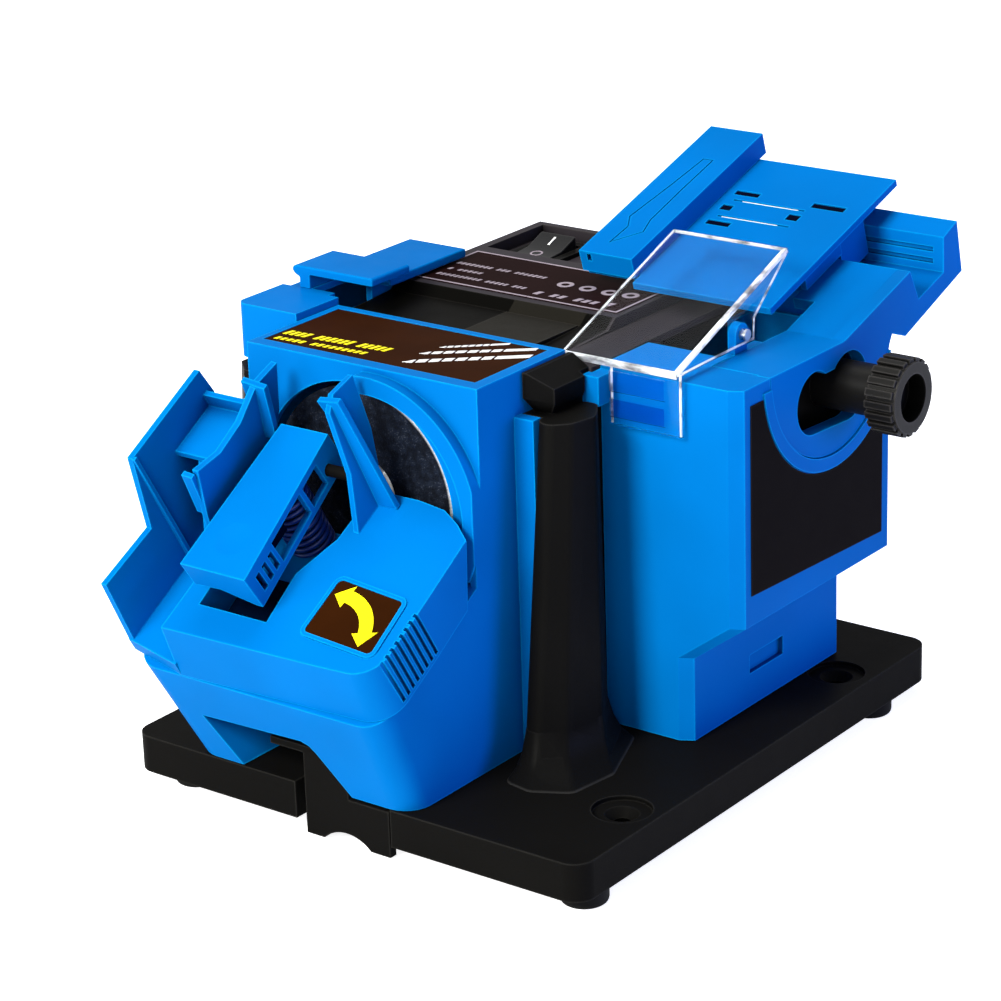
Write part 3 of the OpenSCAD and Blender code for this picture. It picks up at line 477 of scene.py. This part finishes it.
SLOT_FINISH: dict[str, Finish] = {
    "black_plastic": Finish.BLACK, "blue_plastic": Finish.BLUE, "rocker_plastic": Finish.ROCKER,
    "knob_plastic": Finish.KNOB, "rubber": Finish.RUBBER, "label": Finish.LABEL, "panel": Finish.PANEL,
    "abrasive": Finish.STONE, "steel": Finish.STEEL, "clear_plastic": Finish.CLEAR,
}


class Maker:
    """Turns numpy surfaces into pieces that ride on a body."""

    def __init__(self, paint: Paint) -> None:
        """Keeps the paint."""
        self.paint = paint

    def mesh(self, name: str, points: np.ndarray, faces: np.ndarray,
             smooth: bool = True) -> bpy.types.Object:
        """A mesh object from points in metres and faces of three or four corners.

        Args:
            name: the piece's name.
            points: array of shape (n, 3).
            faces: integer array of shape (m, 3) or (m, 4).
            smooth: whether the faces are shaded smoothly.

        Returns:
            The new object, linked to the scene.
        """
        data = bpy.data.meshes.new(name)
        data.from_pydata(points.tolist(), [], faces.tolist())
        data.update()
        data.polygons.foreach_set("use_smooth", np.full(len(data.polygons), smooth))
        piece = bpy.data.objects.new(name, data)
        bpy.context.collection.objects.link(piece)
        return piece

    def add(self, piece: bpy.types.Object, body: str, finish: Finish, slot: str) -> None:
        """Paints a piece and makes it ride on a body."""
        piece.data.materials.clear()
        piece.data.materials.append(self.paint.get(finish))
        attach(piece, body)
        LOG.info("piece %s on %s, %d faces", piece.name, body, len(piece.data.polygons))


def grid_faces(rows: int, columns: int) -> np.ndarray:
    """Quads of a grid of points whose last column is joined to the first."""
    r = np.arange(rows - 1)[:, None]
    c = np.arange(columns)[None, :]
    after = (c + 1) % columns
    low, high = r * columns, (r + 1) * columns
    return np.stack([low + c, low + after, high + after, high + c], axis=-1).reshape(-1, 4)


def strip_solid(left: np.ndarray, right: np.ndarray, lift: float) -> tuple[np.ndarray, np.ndarray]:
    """A flat solid between two edges.

    The section at each step is a rectangle from the left point to the right point and from 0 to lift.

    Args:
        left: array (n, 2) of points on one edge.
        right: array (n, 2) of points on the other edge.
        lift: thickness.

    Returns:
        Points (4 n, 3) and quads, closed at both ends.
    """
    n = len(left)
    zero = np.zeros((n, 1))
    top = np.full((n, 1), lift)
    ring = np.stack([np.hstack([left, zero]), np.hstack([right, zero]), np.hstack([right, top]),
                     np.hstack([left, top])], axis=1)
    faces = grid_faces(n, 4)
    last = (n - 1) * 4
    ends = np.array([[0, 1, 2, 3], [last + 3, last + 2, last + 1, last]])
    return ring.reshape(-1, 3), np.vstack([faces[:, ::-1], ends])


def box_solid(plan: Plan, low: float, tall: float) -> tuple[np.ndarray, np.ndarray]:
    """A straight box over a plan of x0, y0, x1 and y1, from low up by tall."""
    x0, y0, x1, y1 = plan
    points, faces = strip_solid(np.array([[x0, y0], [x0, y1]]), np.array([[x1, y0], [x1, y1]]), tall)
    points[:, 2] += low
    return points, faces


def circle(steps: int) -> np.ndarray:
    """Points on a circle of radius 1, (cos, sin) of evenly spaced angles; the last one is the first again."""
    angle = np.linspace(0.0, 2.0 * np.pi, steps + 1)[:, None]
    return np.hstack([np.cos(angle), np.sin(angle)])


def tube(path: np.ndarray, radius: float, sides: int) -> tuple[np.ndarray, np.ndarray]:
    """A round tube along a path.

    Each ring is the path's point plus radius times a turning unit vector across the path.

    Args:
        path: array (n, 3) of points.
        radius: tube radius.
        sides: points around each ring.

    Returns:
        Points and quads, closed at both ends by a ring of no size.
    """
    along = np.gradient(path, axis=0)
    along /= np.linalg.norm(along, axis=1, keepdims=True)
    side = np.cross(along, np.eye(3)[np.argmin(np.abs(along).max(axis=0))])
    side /= np.linalg.norm(side, axis=1, keepdims=True)
    up = np.cross(side, along)
    angle = np.linspace(0.0, 2.0 * np.pi, sides, endpoint=False)[None, :, None]
    rings = path[:, None] + radius * (np.cos(angle) * side[:, None] + np.sin(angle) * up[:, None])
    ends = [np.repeat(path[[i], None], sides, 1) for i in (0, -1)]
    rings = np.concatenate([ends[0], rings, ends[1]])
    return rings.reshape(-1, 3), grid_faces(len(rings), sides)


@dataclass(frozen=True)
class TiltedFrame:
    """A frame turned about x: x, then up the tilt, then out of it, in millimetres."""

    angle: float
    y: float
    z: float
    x: float = 0.0

    def matrix(self) -> np.ndarray:
        """Rotation that turns this frame's axes into those around it."""
        c, s = math.cos(self.angle), math.sin(self.angle)
        return np.array([[1.0, 0.0, 0.0], [0.0, c, -s], [0.0, s, c]])

    def placed(self, points: np.ndarray) -> np.ndarray:
        """Points of this frame in the one around it, in millimetres."""
        return points @ self.matrix().T + np.array([self.x, self.y, self.z])

    def world(self, points: np.ndarray) -> np.ndarray:
        """Points of this frame in the one around it, in metres."""
        return self.placed(points) * MM


# The tilted frames that the pieces of this script are laid out in.
HOLDER_SLOPE = TiltedFrame(math.radians(31.0), -90.0, 90.57)
LEVER_SLOPE = TiltedFrame(math.radians(3.83), -25.0, 4.1)
ROCKER_TILT = TiltedFrame(math.radians(13.0), 79.0, 137.6, -51.0)
GUARD_TILT = TiltedFrame(math.radians(20.9), -15.4, 142.1)
TABLE_TILT = TiltedFrame(math.radians(17.3), 49.8, 140.2)


@dataclass
class CadDress:
    """Paints the CAD nodes and softens their edges with modifiers. Widths are in millimetres."""

    paint: Paint
    width: float = 0.55
    wide: dict[str, float] = field(default_factory=lambda: {
        "drill_shell": 0.9, "chisel_shell": 0.9, "knife_shell": 2.2, "base_plate": 1.4, "motor_housing": 1.2,
        "top_cover": 0.8, "holder_block": 0.6, "clamp_lever": 0.8, "fence_bar": 0.5, "guide_plate": 0.4,
        "tilt_table": 0.2, "left_fin": 0.4, "right_fin": 0.4, "guide_wall": 0.5, "guide_post_right": 0.9,
        "guide_post_left": 0.9, "knife_lip": 0.8, "knife_rear_slab": 0.6, "clear_guard": 0.2,
        "lock_knob": 0.4, "rating_label": 0.1, "drill_label": 0.1, "turn_label": 0.1, "side_panel": 0.15,
        "housing_screws": 0.2, "switch_frame": 0.4, "switch_rocker": 0.5, "head_latch": 0.4,
        "grinding_wheel": 0.5, "wheel_nut": 0.4,
    })
    special: dict[str, Finish] = field(default_factory=lambda: {
        "top_cover": Finish.COVER, "base_plate": Finish.PLATE, "head_latch": Finish.PLATE,
        "rating_label": Finish.RATING})
    weld: float = 0.01
    bevel_angle: float = math.radians(28.0)
    bevel_segments: int = 2
    crease: float = math.radians(50.0)
    flat_degrees: float = 0.6
    flatter_degrees: dict[str, float] = field(default_factory=lambda: {"tilt_table": 0.02})
    shading: bpy.types.NodeTree | None = None
    plain: tuple[str, ...] = (
        "clamp_spring", "motor_shaft", "armature", "shaft_bearings", "guard_pin", "clamp_pin")

    def soften(self, node: bpy.types.Object, width: float) -> None:
        """Welds the loose triangles, joins flat ones and rounds the edges by width millimetres."""
        weld = node.modifiers.new("weld", "WELD")
        weld.merge_threshold = self.weld * MM
        flat = node.modifiers.new("flat", "DECIMATE")
        flat.decimate_type = "DISSOLVE"
        flat.angle_limit = math.radians(self.flatter_degrees.get(node.name, self.flat_degrees))
        bevel = node.modifiers.new("bevel", "BEVEL")
        bevel.width = width * MM
        bevel.segments = self.bevel_segments
        bevel.limit_method = "ANGLE"
        bevel.angle_limit = self.bevel_angle
        bevel.use_clamp_overlap = True
        shade = node.modifiers.new("shade", "NODES")
        shade.node_group = self.shading
        normals = node.modifiers.new("normals", "WEIGHTED_NORMAL")
        normals.keep_sharp = True

    def shading_group(self) -> bpy.types.NodeTree:
        """Geometry nodes that shade faces smoothly and keep edges sharper than the given angle."""
        tree = bpy.data.node_groups.new("shade_by_angle", "GeometryNodeTree")
        for way in ("INPUT", "OUTPUT"):
            tree.interface.new_socket("Geometry", in_out=way, socket_type="NodeSocketGeometry")
        smooth = "GeometryNodeSetShadeSmooth"
        kinds = ("NodeGroupInput", smooth, smooth, "NodeGroupOutput")
        start, faces, edges, end = [tree.nodes.new(kind) for kind in kinds]
        faces.domain = "FACE"
        edges.domain = "EDGE"
        edges.inputs["Shade Smooth"].default_value = False
        angle = tree.nodes.new("GeometryNodeInputMeshEdgeAngle")
        sharp = tree.nodes.new("FunctionNodeCompare")
        sharp.data_type = "FLOAT"
        sharp.operation = "GREATER_THAN"
        sharp.inputs[1].default_value = self.crease
        tree.links.new(angle.outputs["Unsigned Angle"], sharp.inputs[0])
        tree.links.new(sharp.outputs[0], edges.inputs["Selection"])
        for first, second in ((start, faces), (faces, edges), (edges, end)):
            tree.links.new(first.outputs["Geometry"], second.inputs["Geometry"])
        return tree

    def dress(self, frame: dict[str, Any]) -> None:
        """Gives every node its finish and soft edges.
        """
        self.shading = self.shading_group()
        slots = {s["node"]: s["material_slot"] for s in frame["record"]["subparts"]}
        for name, node in frame["nodes"].items():
            finish = self.special.get(name, SLOT_FINISH[slots[name]])
            node.data.materials.clear()
            node.data.materials.append(self.paint.get(finish))
            if name not in self.plain:
                self.soften(node, self.wide.get(name, self.width))
            LOG.info("node %s is %s", name, finish.name)


@dataclass
class ClampSpring:
    """The spring under the clamp lever: a helix about the slope's normal."""

    maker: Maker
    x: float = -33.0
    s: float = 12.0
    low: float = -12.1
    high: float = 16.6
    turns: float = 11.0
    radius: float = 6.8
    wire: float = 0.9
    kept: float = 0.97
    steps: int = 32
    sides: int = 10

    def build(self) -> None:
        """Carries a round wire along the helix: radius times (cos, sin) of the angle, rising evenly."""
        f = np.linspace(0.0, 1.0, int(self.turns * self.steps) + 1)
        angle = 2.0 * np.pi * self.turns * f
        path = np.stack([self.x + self.radius * np.cos(angle), self.s + self.radius * np.sin(angle),
                         self.low + (self.high - self.low) * f], axis=1)
        points, faces = tube(path, self.wire, self.sides)
        piece = self.maker.mesh("clamp_spring_wire", HOLDER_SLOPE.world(points), faces)
        self.maker.add(piece, "holder", Finish.SPRING, "steel")
        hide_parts("clamp_spring")
        foot = HOLDER_SLOPE.world(np.array([self.x, self.s, self.low - self.wire]))
        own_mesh(piece)


@dataclass
class TurnArrow:
    """The yellow bent arrow with two heads on the holder's label."""

    maker: Maker
    centre: Pair = (1.6, -27.4)
    radius: float = 15.9
    half: float = 2.3
    head: float = 4.4
    start: float = -1.0
    end: float = 103.0
    head_arc: float = 19.0
    height: float = 0.4
    lift: float = 0.15
    steps: int = 24
    tip: float = 0.01

    def build(self) -> None:
        """A strip along an arc whose half width jumps to the head's and shrinks to nothing at both ends."""
        body = np.linspace(self.start + self.head_arc, self.end - self.head_arc, self.steps)
        angle = np.concatenate([[self.start, body[0]], body, [body[-1], self.end]])
        wide = np.concatenate([[self.tip, self.head], np.full(len(body), self.half), [self.head, self.tip]])
        a = np.radians(angle)[:, None]
        out = np.hstack([np.cos(a), np.sin(a)])
        middle = np.array(self.centre) + self.radius * out
        points, faces = strip_solid(middle - wide[:, None] * out, middle + wide[:, None] * out, self.lift)
        points[:, 2] += self.height
        piece = self.maker.mesh("turn_arrow", HOLDER_SLOPE.world(points), faces, smooth=False)
        self.maker.add(piece, "holder", Finish.YELLOW, "label")


@dataclass
class ShadeFloors:
    """Dark floors of painted shade in the hollows: the lever's pocket and slots, and the slit beside the
    guard.
    """

    maker: Maker
    pocket_low: float = -13.0
    pocket_left: tuple[Pair, ...] = ((-46.2, -27.3), (-47.6, -4.0))
    pocket_right: tuple[Pair, ...] = ((-19.2, -27.3), (-20.0, -4.0))
    slots: Plan = (-27.0, 2.6, -26.6, 27.0)
    slots_low: float = 2.4
    slots_tall: float = 9.0
    slit: Plan = (60.2, 36.4, 66.1, 66.0)
    slit_low: float = 134.6
    thick: float = 0.3

    def build(self) -> None:
        """Lays a thin solid between two edges in each hollow."""
        points, faces = strip_solid(np.array(self.pocket_left), np.array(self.pocket_right), self.thick)
        points[:, 2] += self.pocket_low
        self._lay("pocket_shade", HOLDER_SLOPE.world(points), faces, "holder")
        points, faces = box_solid(self.slots, self.slots_low, self.slots_tall)
        self._lay("lever_slots_shade", HOLDER_SLOPE.world(LEVER_SLOPE.placed(points)), faces, "clamp")
        points, faces = box_solid(self.slit, self.slit_low, self.thick)
        self._lay("slit_shade", points * MM, faces, "chisel_head")

    def _lay(self, name: str, points: np.ndarray, faces: np.ndarray, body: str) -> None:
        """Makes one dark floor of painted shade on a body."""
        piece = self.maker.mesh(name, points, faces, smooth=False)
        self.maker.add(piece, body, Finish.DEEP, "blue_plastic")


@dataclass(frozen=True)
class DashRow:
    """A printed row: its lower ends, the height of its dashes, and how many dashes each group has."""

    name: str
    start: Pair
    end: Pair
    tall: float
    counts: tuple[int, ...]


@dataclass
class Printer:
    """Lays flat printed marks on a level label."""

    maker: Maker
    body: str
    height: float
    lift: float = 0.12
    dash: float = 0.62
    lean: float = 0.22
    notch: float = 0.06
    steps: int = 24

    def strip(self, name: str, left: np.ndarray, right: np.ndarray, finish: Finish) -> None:
        """Lays one strip between two edges, given in millimetres."""
        points, faces = strip_solid(left, right, self.lift)
        points[:, 2] += self.height
        piece = self.maker.mesh(name, points * MM, faces, smooth=False)
        self.maker.add(piece, self.body, finish, "label")

    def words(self, row: DashRow, finish: Finish) -> None:
        """Groups of slanted dashes a step apart, which stand for words without spelling any."""
        start = np.array(row.start)
        first = np.concatenate([np.arange(n) + sum(row.counts[:i]) + i for i, n in enumerate(row.counts)])
        step = (np.array(row.end) - start) / (first[-1] + self.dash)
        lean = np.array([self.lean * row.tall, row.tall])
        for i, place in enumerate(first):
            low = np.stack([start + step * place, start + step * (place + self.dash)])
            notch = row.tall * (self.notch if i % 3 else 0.0)
            self.strip(f"{row.name}_{i}", low + lean - np.array([0.0, notch]), low, finish)

    def ring(self, name: str, centre: Pair, radius: float, half: float, finish: Finish) -> None:
        """A printed ring: two circles that share a centre."""
        middle = np.array(centre)
        out = circle(self.steps)
        self.strip(name, middle + (radius - half) * out, middle + (radius + half) * out, finish)


@dataclass
class DrillLabelPrint:
    """Two rows of yellow dashes and three drill bits printed on the drill head's label."""

    maker: Maker
    height: float = 145.0
    rows: tuple[DashRow, ...] = (
        DashRow("label_row_a", (-61.4, -50.4), (-21.4, -48.0), 4.0, (4, 6, 5)),
        DashRow("label_row_b", (-60.6, -55.8), (-25.4, -53.8), 2.4, (5, 9)),
    )
    bits: tuple[tuple[float, float, float, float, float], ...] = (
        (-9.6, -53.0, 21.2, -27.8, 1.3), (-10.4, -43.6, 18.6, -21.2, 1.05), (-8.8, -35.4, 8.0, -21.2, 0.7),
    )
    flutes: int = 7
    fluted: float = 0.72
    gap: Pair = (0.001, 0.022)
    tip: float = 0.06
    steps: int = 5
    slant: float = 0.5

    def build(self) -> None:
        """Each bit is a row of slanted strips, one per turn of its flutes, and a plain shank."""
        ink = Printer(self.maker, "drill_head", self.height)
        for row in self.rows:
            ink.words(row, Finish.YELLOW)
        for i, (x0, y0, x1, y1, half) in enumerate(self.bits):
            along = np.array([x1 - x0, y1 - y0])
            across = np.array([-along[1], along[0]]) / np.linalg.norm(along)
            for k, (low, high) in enumerate(self.spans()):
                u = np.linspace(low, high, self.steps)[:, None]
                line = np.array([x0, y0]) + u * along
                wide = half * np.clip(u / self.tip, 0.1, 1.0) * across
                slant = self.slant * along / np.linalg.norm(along) * half
                ink.strip(f"label_bit_{i}_{k}", line + wide + slant, line - wide - slant, Finish.WHITE)

    def spans(self) -> list[tuple[float, float]]:
        """Shares of a bit's length that are white: one per turn of the flutes, then the plain shank."""
        turns = np.linspace(0.0, self.fluted, self.flutes + 1)
        before, after = self.gap
        white = [(a + before, b - after) for a, b in zip(turns[:-1], turns[1:])]
        return white + [(self.fluted + 2.0 * before, 1.0)]


@dataclass
class RatingLabelPrint:
    """A border, rows of pale dashes and four rings on the top cover's label."""

    maker: Maker
    height: float = 144.9
    low: Pair = (-65.1, 22.9)
    high: Pair = (18.1, 58.1)
    line: float = 0.8
    lift: float = 0.08
    rows: tuple[DashRow, ...] = (
        DashRow("rating_row_a", (-62.4, 42.2), (-25.7, 42.6), 2.1, (8, 3, 7)),
        DashRow("rating_row_b", (-61.0, 35.4), (-47.4, 35.8), 1.9, (1, 5)),
        DashRow("rating_row_c", (-60.8, 28.8), (-24.5, 29.4), 2.1, (10, 5, 3)),
        DashRow("rating_row_d", (-18.7, 26.8), (12.0, 27.6), 3.2, (1, 2, 3, 1)),
    )
    rings: tuple[float, ...] = (-15.2, -6.2, 2.8, 11.3)
    rings_y: float = 40.8
    ring_radius: float = 2.2
    ring_half: float = 0.75

    def build(self) -> None:
        """Lays the four sides of the border, the rows and the rings."""
        ink = Printer(self.maker, "base", self.height, self.lift)
        (x0, y0), (x1, y1), w = self.low, self.high, self.line
        sides = {"front": ((x0, y0), (x1, y0 + w)), "rear": ((x0, y1 - w), (x1, y1)),
                 "left": ((x0, y0 + w), (x0 + w, y1 - w)), "right": ((x1 - w, y0 + w), (x1, y1 - w))}
        for name, (a, b) in sides.items():
            left = np.array([[a[0], b[1]], [b[0], b[1]]])
            right = np.array([[a[0], a[1]], [b[0], a[1]]])
            ink.strip(f"rating_border_{name}", left, right, Finish.GREY)
        for row in self.rows:
            ink.words(row, Finish.GREY)
        for i, x in enumerate(self.rings):
            ink.ring(f"rating_ring_{i}", (x, self.rings_y), self.ring_radius, self.ring_half, Finish.GREY)


@dataclass
class RockerMarks:
    """The O and I on the rocker's two faces."""

    maker: Maker
    middle: float = 5.3
    rise: float = 1.3 / 9.0
    lift: float = 0.1
    off: float = 4.7
    ring: Pair = (1.6, 2.3)
    bar: Pair = (0.8, 4.6)
    steps: int = 32

    def build(self) -> None:
        """Makes a ring on the near face and a bar on the far face, in the rocker's own frame."""
        out = circle(self.steps)
        near = np.array([0.0, -self.off])
        inner, outer = self.ring
        self._lay("mark_ring", near + inner * out, near + outer * out, Finish.GREY)
        wide, tall = self.bar
        left = np.array([[-0.5 * wide, self.off - 0.5 * tall], [-0.5 * wide, self.off + 0.5 * tall]])
        self._lay("mark_bar", left, left + np.array([wide, 0.0]), Finish.WHITE)

    def _lay(self, name: str, left: np.ndarray, right: np.ndarray, finish: Finish) -> None:
        """Lays a strip on the rocker's faces, which rise by a fixed share on both sides of the middle."""
        points, faces = strip_solid(left, right, self.lift)
        points[:, 2] += self.middle + self.rise * np.abs(points[:, 1])
        piece = self.maker.mesh(name, ROCKER_TILT.world(points), faces, smooth=False)
        self.maker.add(piece, "rocker", finish, "label")


@dataclass
class GuardEdges:
    """Painted highlights on the cut edges of the clear guard, as thin pale rods inside its outline, and the
    flap's panes.
    """

    maker: Maker
    left: float = 23.6
    right: float = 67.4
    length: float = 68.6
    thick: float = 1.6
    rod: float = 0.4
    inset: float = 0.04
    sides: int = 8
    start: float = 1.2
    start_low: float = 0.5
    wall_low: tuple[Pair, ...] = ((-14.6, 142.75), (28.1, 143.25))
    wall_rear: tuple[Pair, ...] = ((28.1, 143.25), (28.6, 150.1), (47.4, 166.1))
    flap_right: tuple[Point, ...] = ((67.9, -14.3, 123.0), (67.9, -14.3, 142.9))
    flap_left: tuple[Point, ...] = ((42.0, -14.1, 123.1), (42.0, -14.1, 142.9))
    bar: Pair = (0.12, 0.5)
    lip: float = -0.5
    band: Pair = (0.1, 1.5)
    band_width: float = 1.1
    panes: tuple[tuple[Finish, float, float], ...] = (
        (Finish.TINT, 133.8, 140.2), (Finish.DEEP_TINT, 125.4, 131.2))
    pane_plan: Plan = (42.4, -15.32, 62.2, -15.14)

    @staticmethod
    def at(x: float, u: float, w: float) -> np.ndarray:
        """A point of the window: x, then along it, then out of it."""
        return GUARD_TILT.placed(np.array([x, u, w]))

    def lines(self) -> dict[str, Any]:
        """Corners of every rod: along the window's edges, the right wall's outline and the flap's sides."""
        i = self.rod + self.inset
        a, b, top, far = self.left + i, self.right - i, self.thick - i, self.length - i
        near = self.start
        return {
            "left_top": [self.at(a, near, top), self.at(a, far, top)],
            "right_top": [self.at(b, near, top), self.at(b, far, top)],
            "right_low": [self.at(b, near, i), self.at(b, far, i)],
            "rear_top": [self.at(a, far, top), self.at(b, far, top)],
            "rear_low": [self.at(a, far, i), self.at(b, far, i)],
            "front_top": [self.at(a, near, top), self.at(b, near, top)],
            "front_low": [self.at(a, self.start_low, i), self.at(b, self.start_low, i)],
            "wall_low": [[b, y, z] for y, z in self.wall_low],
            "wall_rear": [[b, y, z] for y, z in self.wall_rear],
            "flap_right": self.flap_right,
            "flap_left": self.flap_left,
        }

    def build(self) -> None:
        """Lays the rods, a bar along the front edge, a band along the right edge and the flap's two panes."""
        # painted highlight: opaque pale rods, a bar and a band stand for the light caught in the guard's edges
        for name, corners in self.lines().items():
            points, faces = tube(np.array(corners) * MM, self.rod * MM, self.sides)
            self._add(f"guard_edge_glint_{name}", points, faces, Finish.EDGE_GLINT)
        i = self.rod + self.inset
        a, b, far = self.left + i, self.right - i, self.length - i
        low, high = self.band
        near, back = self.bar
        section = ((near, self.lip), (near, high), (back, high), (back, self.lip))
        bar = [self.at(x, u, w) for x in (a, b) for u, w in section]
        inner = b - self.band_width
        section = ((b, low), (b, high), (inner, high), (inner, low))
        band = [self.at(x, u, w) for u in (self.start, far) for x, w in section]
        quads = np.array([[0, 1, 5, 4], [1, 2, 6, 5], [2, 3, 7, 6], [3, 0, 4, 7], [0, 3, 2, 1], [4, 5, 6, 7]])
        for name, corners in (("front", bar), ("side", band)):
            self._add(f"guard_edge_glint_{name}", np.array(corners) * MM, quads, Finish.EDGE_GLINT, smooth=False)
        for finish, low, high in self.panes:
            points, faces = box_solid(self.pane_plan, low, high - low)
            self._add(f"flap_pane_{finish.name.lower()}", points * MM, faces, finish, smooth=False)

    def _add(self, name: str, points: np.ndarray, faces: np.ndarray, finish: Finish,
             smooth: bool = True) -> None:
        """Makes one piece that rides on the guard."""
        piece = self.maker.mesh(name, points, faces, smooth)
        self.maker.add(piece, "guard", finish, "clear_plastic")


@dataclass
class PlateMarks:
    """Dark floors of painted shade in the guide plate's slots, and two pale lines of painted highlight in the
    grooves between them.
    """

    maker: Maker
    top: float = 10.1
    sink: float = 0.75
    highlight_sink: float = 0.55
    thick: float = 0.3
    slots: tuple[Plan, ...] = (
        (13.5, 55.1, 23.0, 57.8), (44.3, 54.4, 56.9, 57.3), (13.6, 45.2, 17.8, 48.5),
        (39.6, 45.3, 44.2, 48.9), (13.8, 35.8, 23.0, 38.6),
    )
    lines: tuple[Plan, ...] = ((17.0, 41.2, 39.0, 41.7), (19.0, 51.6, 41.0, 52.1))

    def build(self) -> None:
        """Lays a flat box in each slot below the plate's face and one in each line's groove."""
        for i, plan in enumerate(self.slots):
            # painted shade: a dark floor in each slot
            self._lay(f"plate_slot_shade_{i}", plan, self.sink, Finish.HOLE, "blue_plastic")
        # painted highlight: a pale strip in each groove, where light catches the ridges
        for i, plan in enumerate(self.lines):
            self._lay(f"plate_groove_highlight_{i}", plan, self.highlight_sink, Finish.WHITE, "label")

    def _lay(self, name: str, plan: Plan, sink: float, finish: Finish, slot: str) -> None:
        """Makes a thin box over a plan on the table, whose floor is sink below the plate's face."""
        points, faces = box_solid(plan, self.top - sink, self.thick)
        piece = self.maker.mesh(name, TABLE_TILT.world(points), faces, smooth=False)
        self.maker.add(piece, "carriage", finish, slot)


@dataclass(frozen=True)
class Lamp:
    """A square area lamp."""

    name: str
    place: Point
    size: float
    power: float
    colour: Rgb = (1.0, 0.99, 0.9)


@dataclass
class Studio:
    """Camera, lamps, floor and world."""

    place: Point = (0.61217, -0.81542, 0.46344)
    azimuth: float = math.radians(37.53)
    elevation: float = math.radians(20.39)
    roll: float = math.radians(-1.9)
    lens: float = 119.35
    sensor: float = 36.0
    aim: Point = (0.0, 0.0, 0.08)
    lamps: tuple[Lamp, ...] = (
        Lamp("key", (-0.06, -1.2, 0.9), 0.5, 35.0),
        Lamp("front", (0.6, -0.9, 0.5), 0.5, 2.5),
        Lamp("top", (-0.1, 0.15, 1.4), 0.8, 12.0),
        Lamp("side", (-0.5, -0.95, 0.25), 0.4, 3.0),
        Lamp("fill", (1.05, 0.35, 0.17), 0.5, 8.0, (0.26, 0.36, 1.0)),
    )
    ambient: Rgb = (0.16, 0.24, 1.0)
    ambient_level: float = 0.24
    floor_half: float = 4.0
    floor_tone: Rgb = (0.85, 0.85, 0.85)
    floor_glow: float = 0.88

    def camera(self) -> None:
        """Sets the camera at the photograph's viewpoint, with its small roll."""
        a, e, r = self.azimuth, self.elevation, self.roll
        back = Vector((math.sin(a) * math.cos(e), -math.cos(a) * math.cos(e), math.sin(e)))
        right = Vector((math.cos(a), math.sin(a), 0.0))
        up = back.cross(right)
        across = math.cos(r) * right + math.sin(r) * up
        above = math.cos(r) * up - math.sin(r) * right
        turn = Matrix((across, above, back)).transposed().to_4x4()
        data = bpy.data.cameras.new("camera")
        data.lens = self.lens
        data.sensor_width = self.sensor
        data.sensor_fit = "HORIZONTAL"
        data.clip_start = 0.01
        camera = bpy.data.objects.new("camera", data)
        camera.matrix_world = Matrix.Translation(self.place) @ turn
        bpy.context.collection.objects.link(camera)
        bpy.context.scene.camera = camera

    def lights(self) -> None:
        """Adds the lamps, each facing the same point."""
        for lamp in self.lamps:
            data = bpy.data.lights.new(lamp.name, "AREA")
            data.size = lamp.size
            data.color = lamp.colour
            data.energy = lamp.power
            made = bpy.data.objects.new(lamp.name, data)
            made.location = lamp.place
            made.rotation_euler = (Vector(self.aim) - Vector(lamp.place)).to_track_quat("-Z", "Y").to_euler()
            bpy.context.collection.objects.link(made)

    def world(self) -> None:
        """White where the camera, mirrored or see-through rays look, and a dim cool light elsewhere."""
        world = bpy.data.worlds.new("studio")
        bpy.context.scene.world = world
        g = Graph("studio", world)
        backdrop = g.node("ShaderNodeBackground", None, {"Color": OPAQUE_WHITE})
        ambient = g.node("ShaderNodeBackground", None,
                         {"Color": (*self.ambient, 1.0), "Strength": self.ambient_level})
        light = g.node("ShaderNodeMixShader", None, {0: g.shown(), 1: ambient, 2: backdrop})
        g.node("ShaderNodeOutputWorld", None, {"Surface": light})

    def floor(self) -> None:
        """A wide pale floor that keeps a soft shadow and otherwise looks white to the camera."""
        half = self.floor_half
        data = bpy.data.meshes.new("floor")
        corners = [(-half, -half, 0), (half, -half, 0), (half, half, 0), (-half, half, 0)]
        data.from_pydata(corners, [], [(0, 1, 2, 3)])
        floor = bpy.data.objects.new("floor", data)
        bpy.context.collection.objects.link(floor)
        g = Graph("floor")
        diffuse = g.node("ShaderNodeBsdfDiffuse", None, {"Color": (*self.floor_tone, 1.0)})
        glow = g.node("ShaderNodeEmission", None, {"Color": OPAQUE_WHITE, "Strength": self.floor_glow})
        both = g.node("ShaderNodeAddShader", None, {0: diffuse, 1: glow})
        shader = g.node("ShaderNodeMixShader", None, {0: g.shown(), 1: diffuse, 2: both})
        g.node("ShaderNodeOutputMaterial", None, {"Surface": shader})
        data.materials.append(g.owner)

    def build(self) -> None:
        """Sets the whole studio up."""
        self.camera()
        self.lights()
        self.world()
        self.floor()
        bpy.context.scene.view_settings.view_transform = "Standard"


def main() -> None:
    """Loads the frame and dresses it."""
    logging.basicConfig(level=logging.INFO, format="%(message)s")
    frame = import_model()
    Studio().build()
    paint = Paint()
    maker = Maker(paint)
    CadDress(paint).dress(frame)
    ClampSpring(maker).build()
    TurnArrow(maker).build()
    ShadeFloors(maker).build()
    DrillLabelPrint(maker).build()
    RatingLabelPrint(maker).build()
    RockerMarks(maker).build()
    GuardEdges(maker).build()
    PlateMarks(maker).build()


if __name__ == "__main__":
    main()
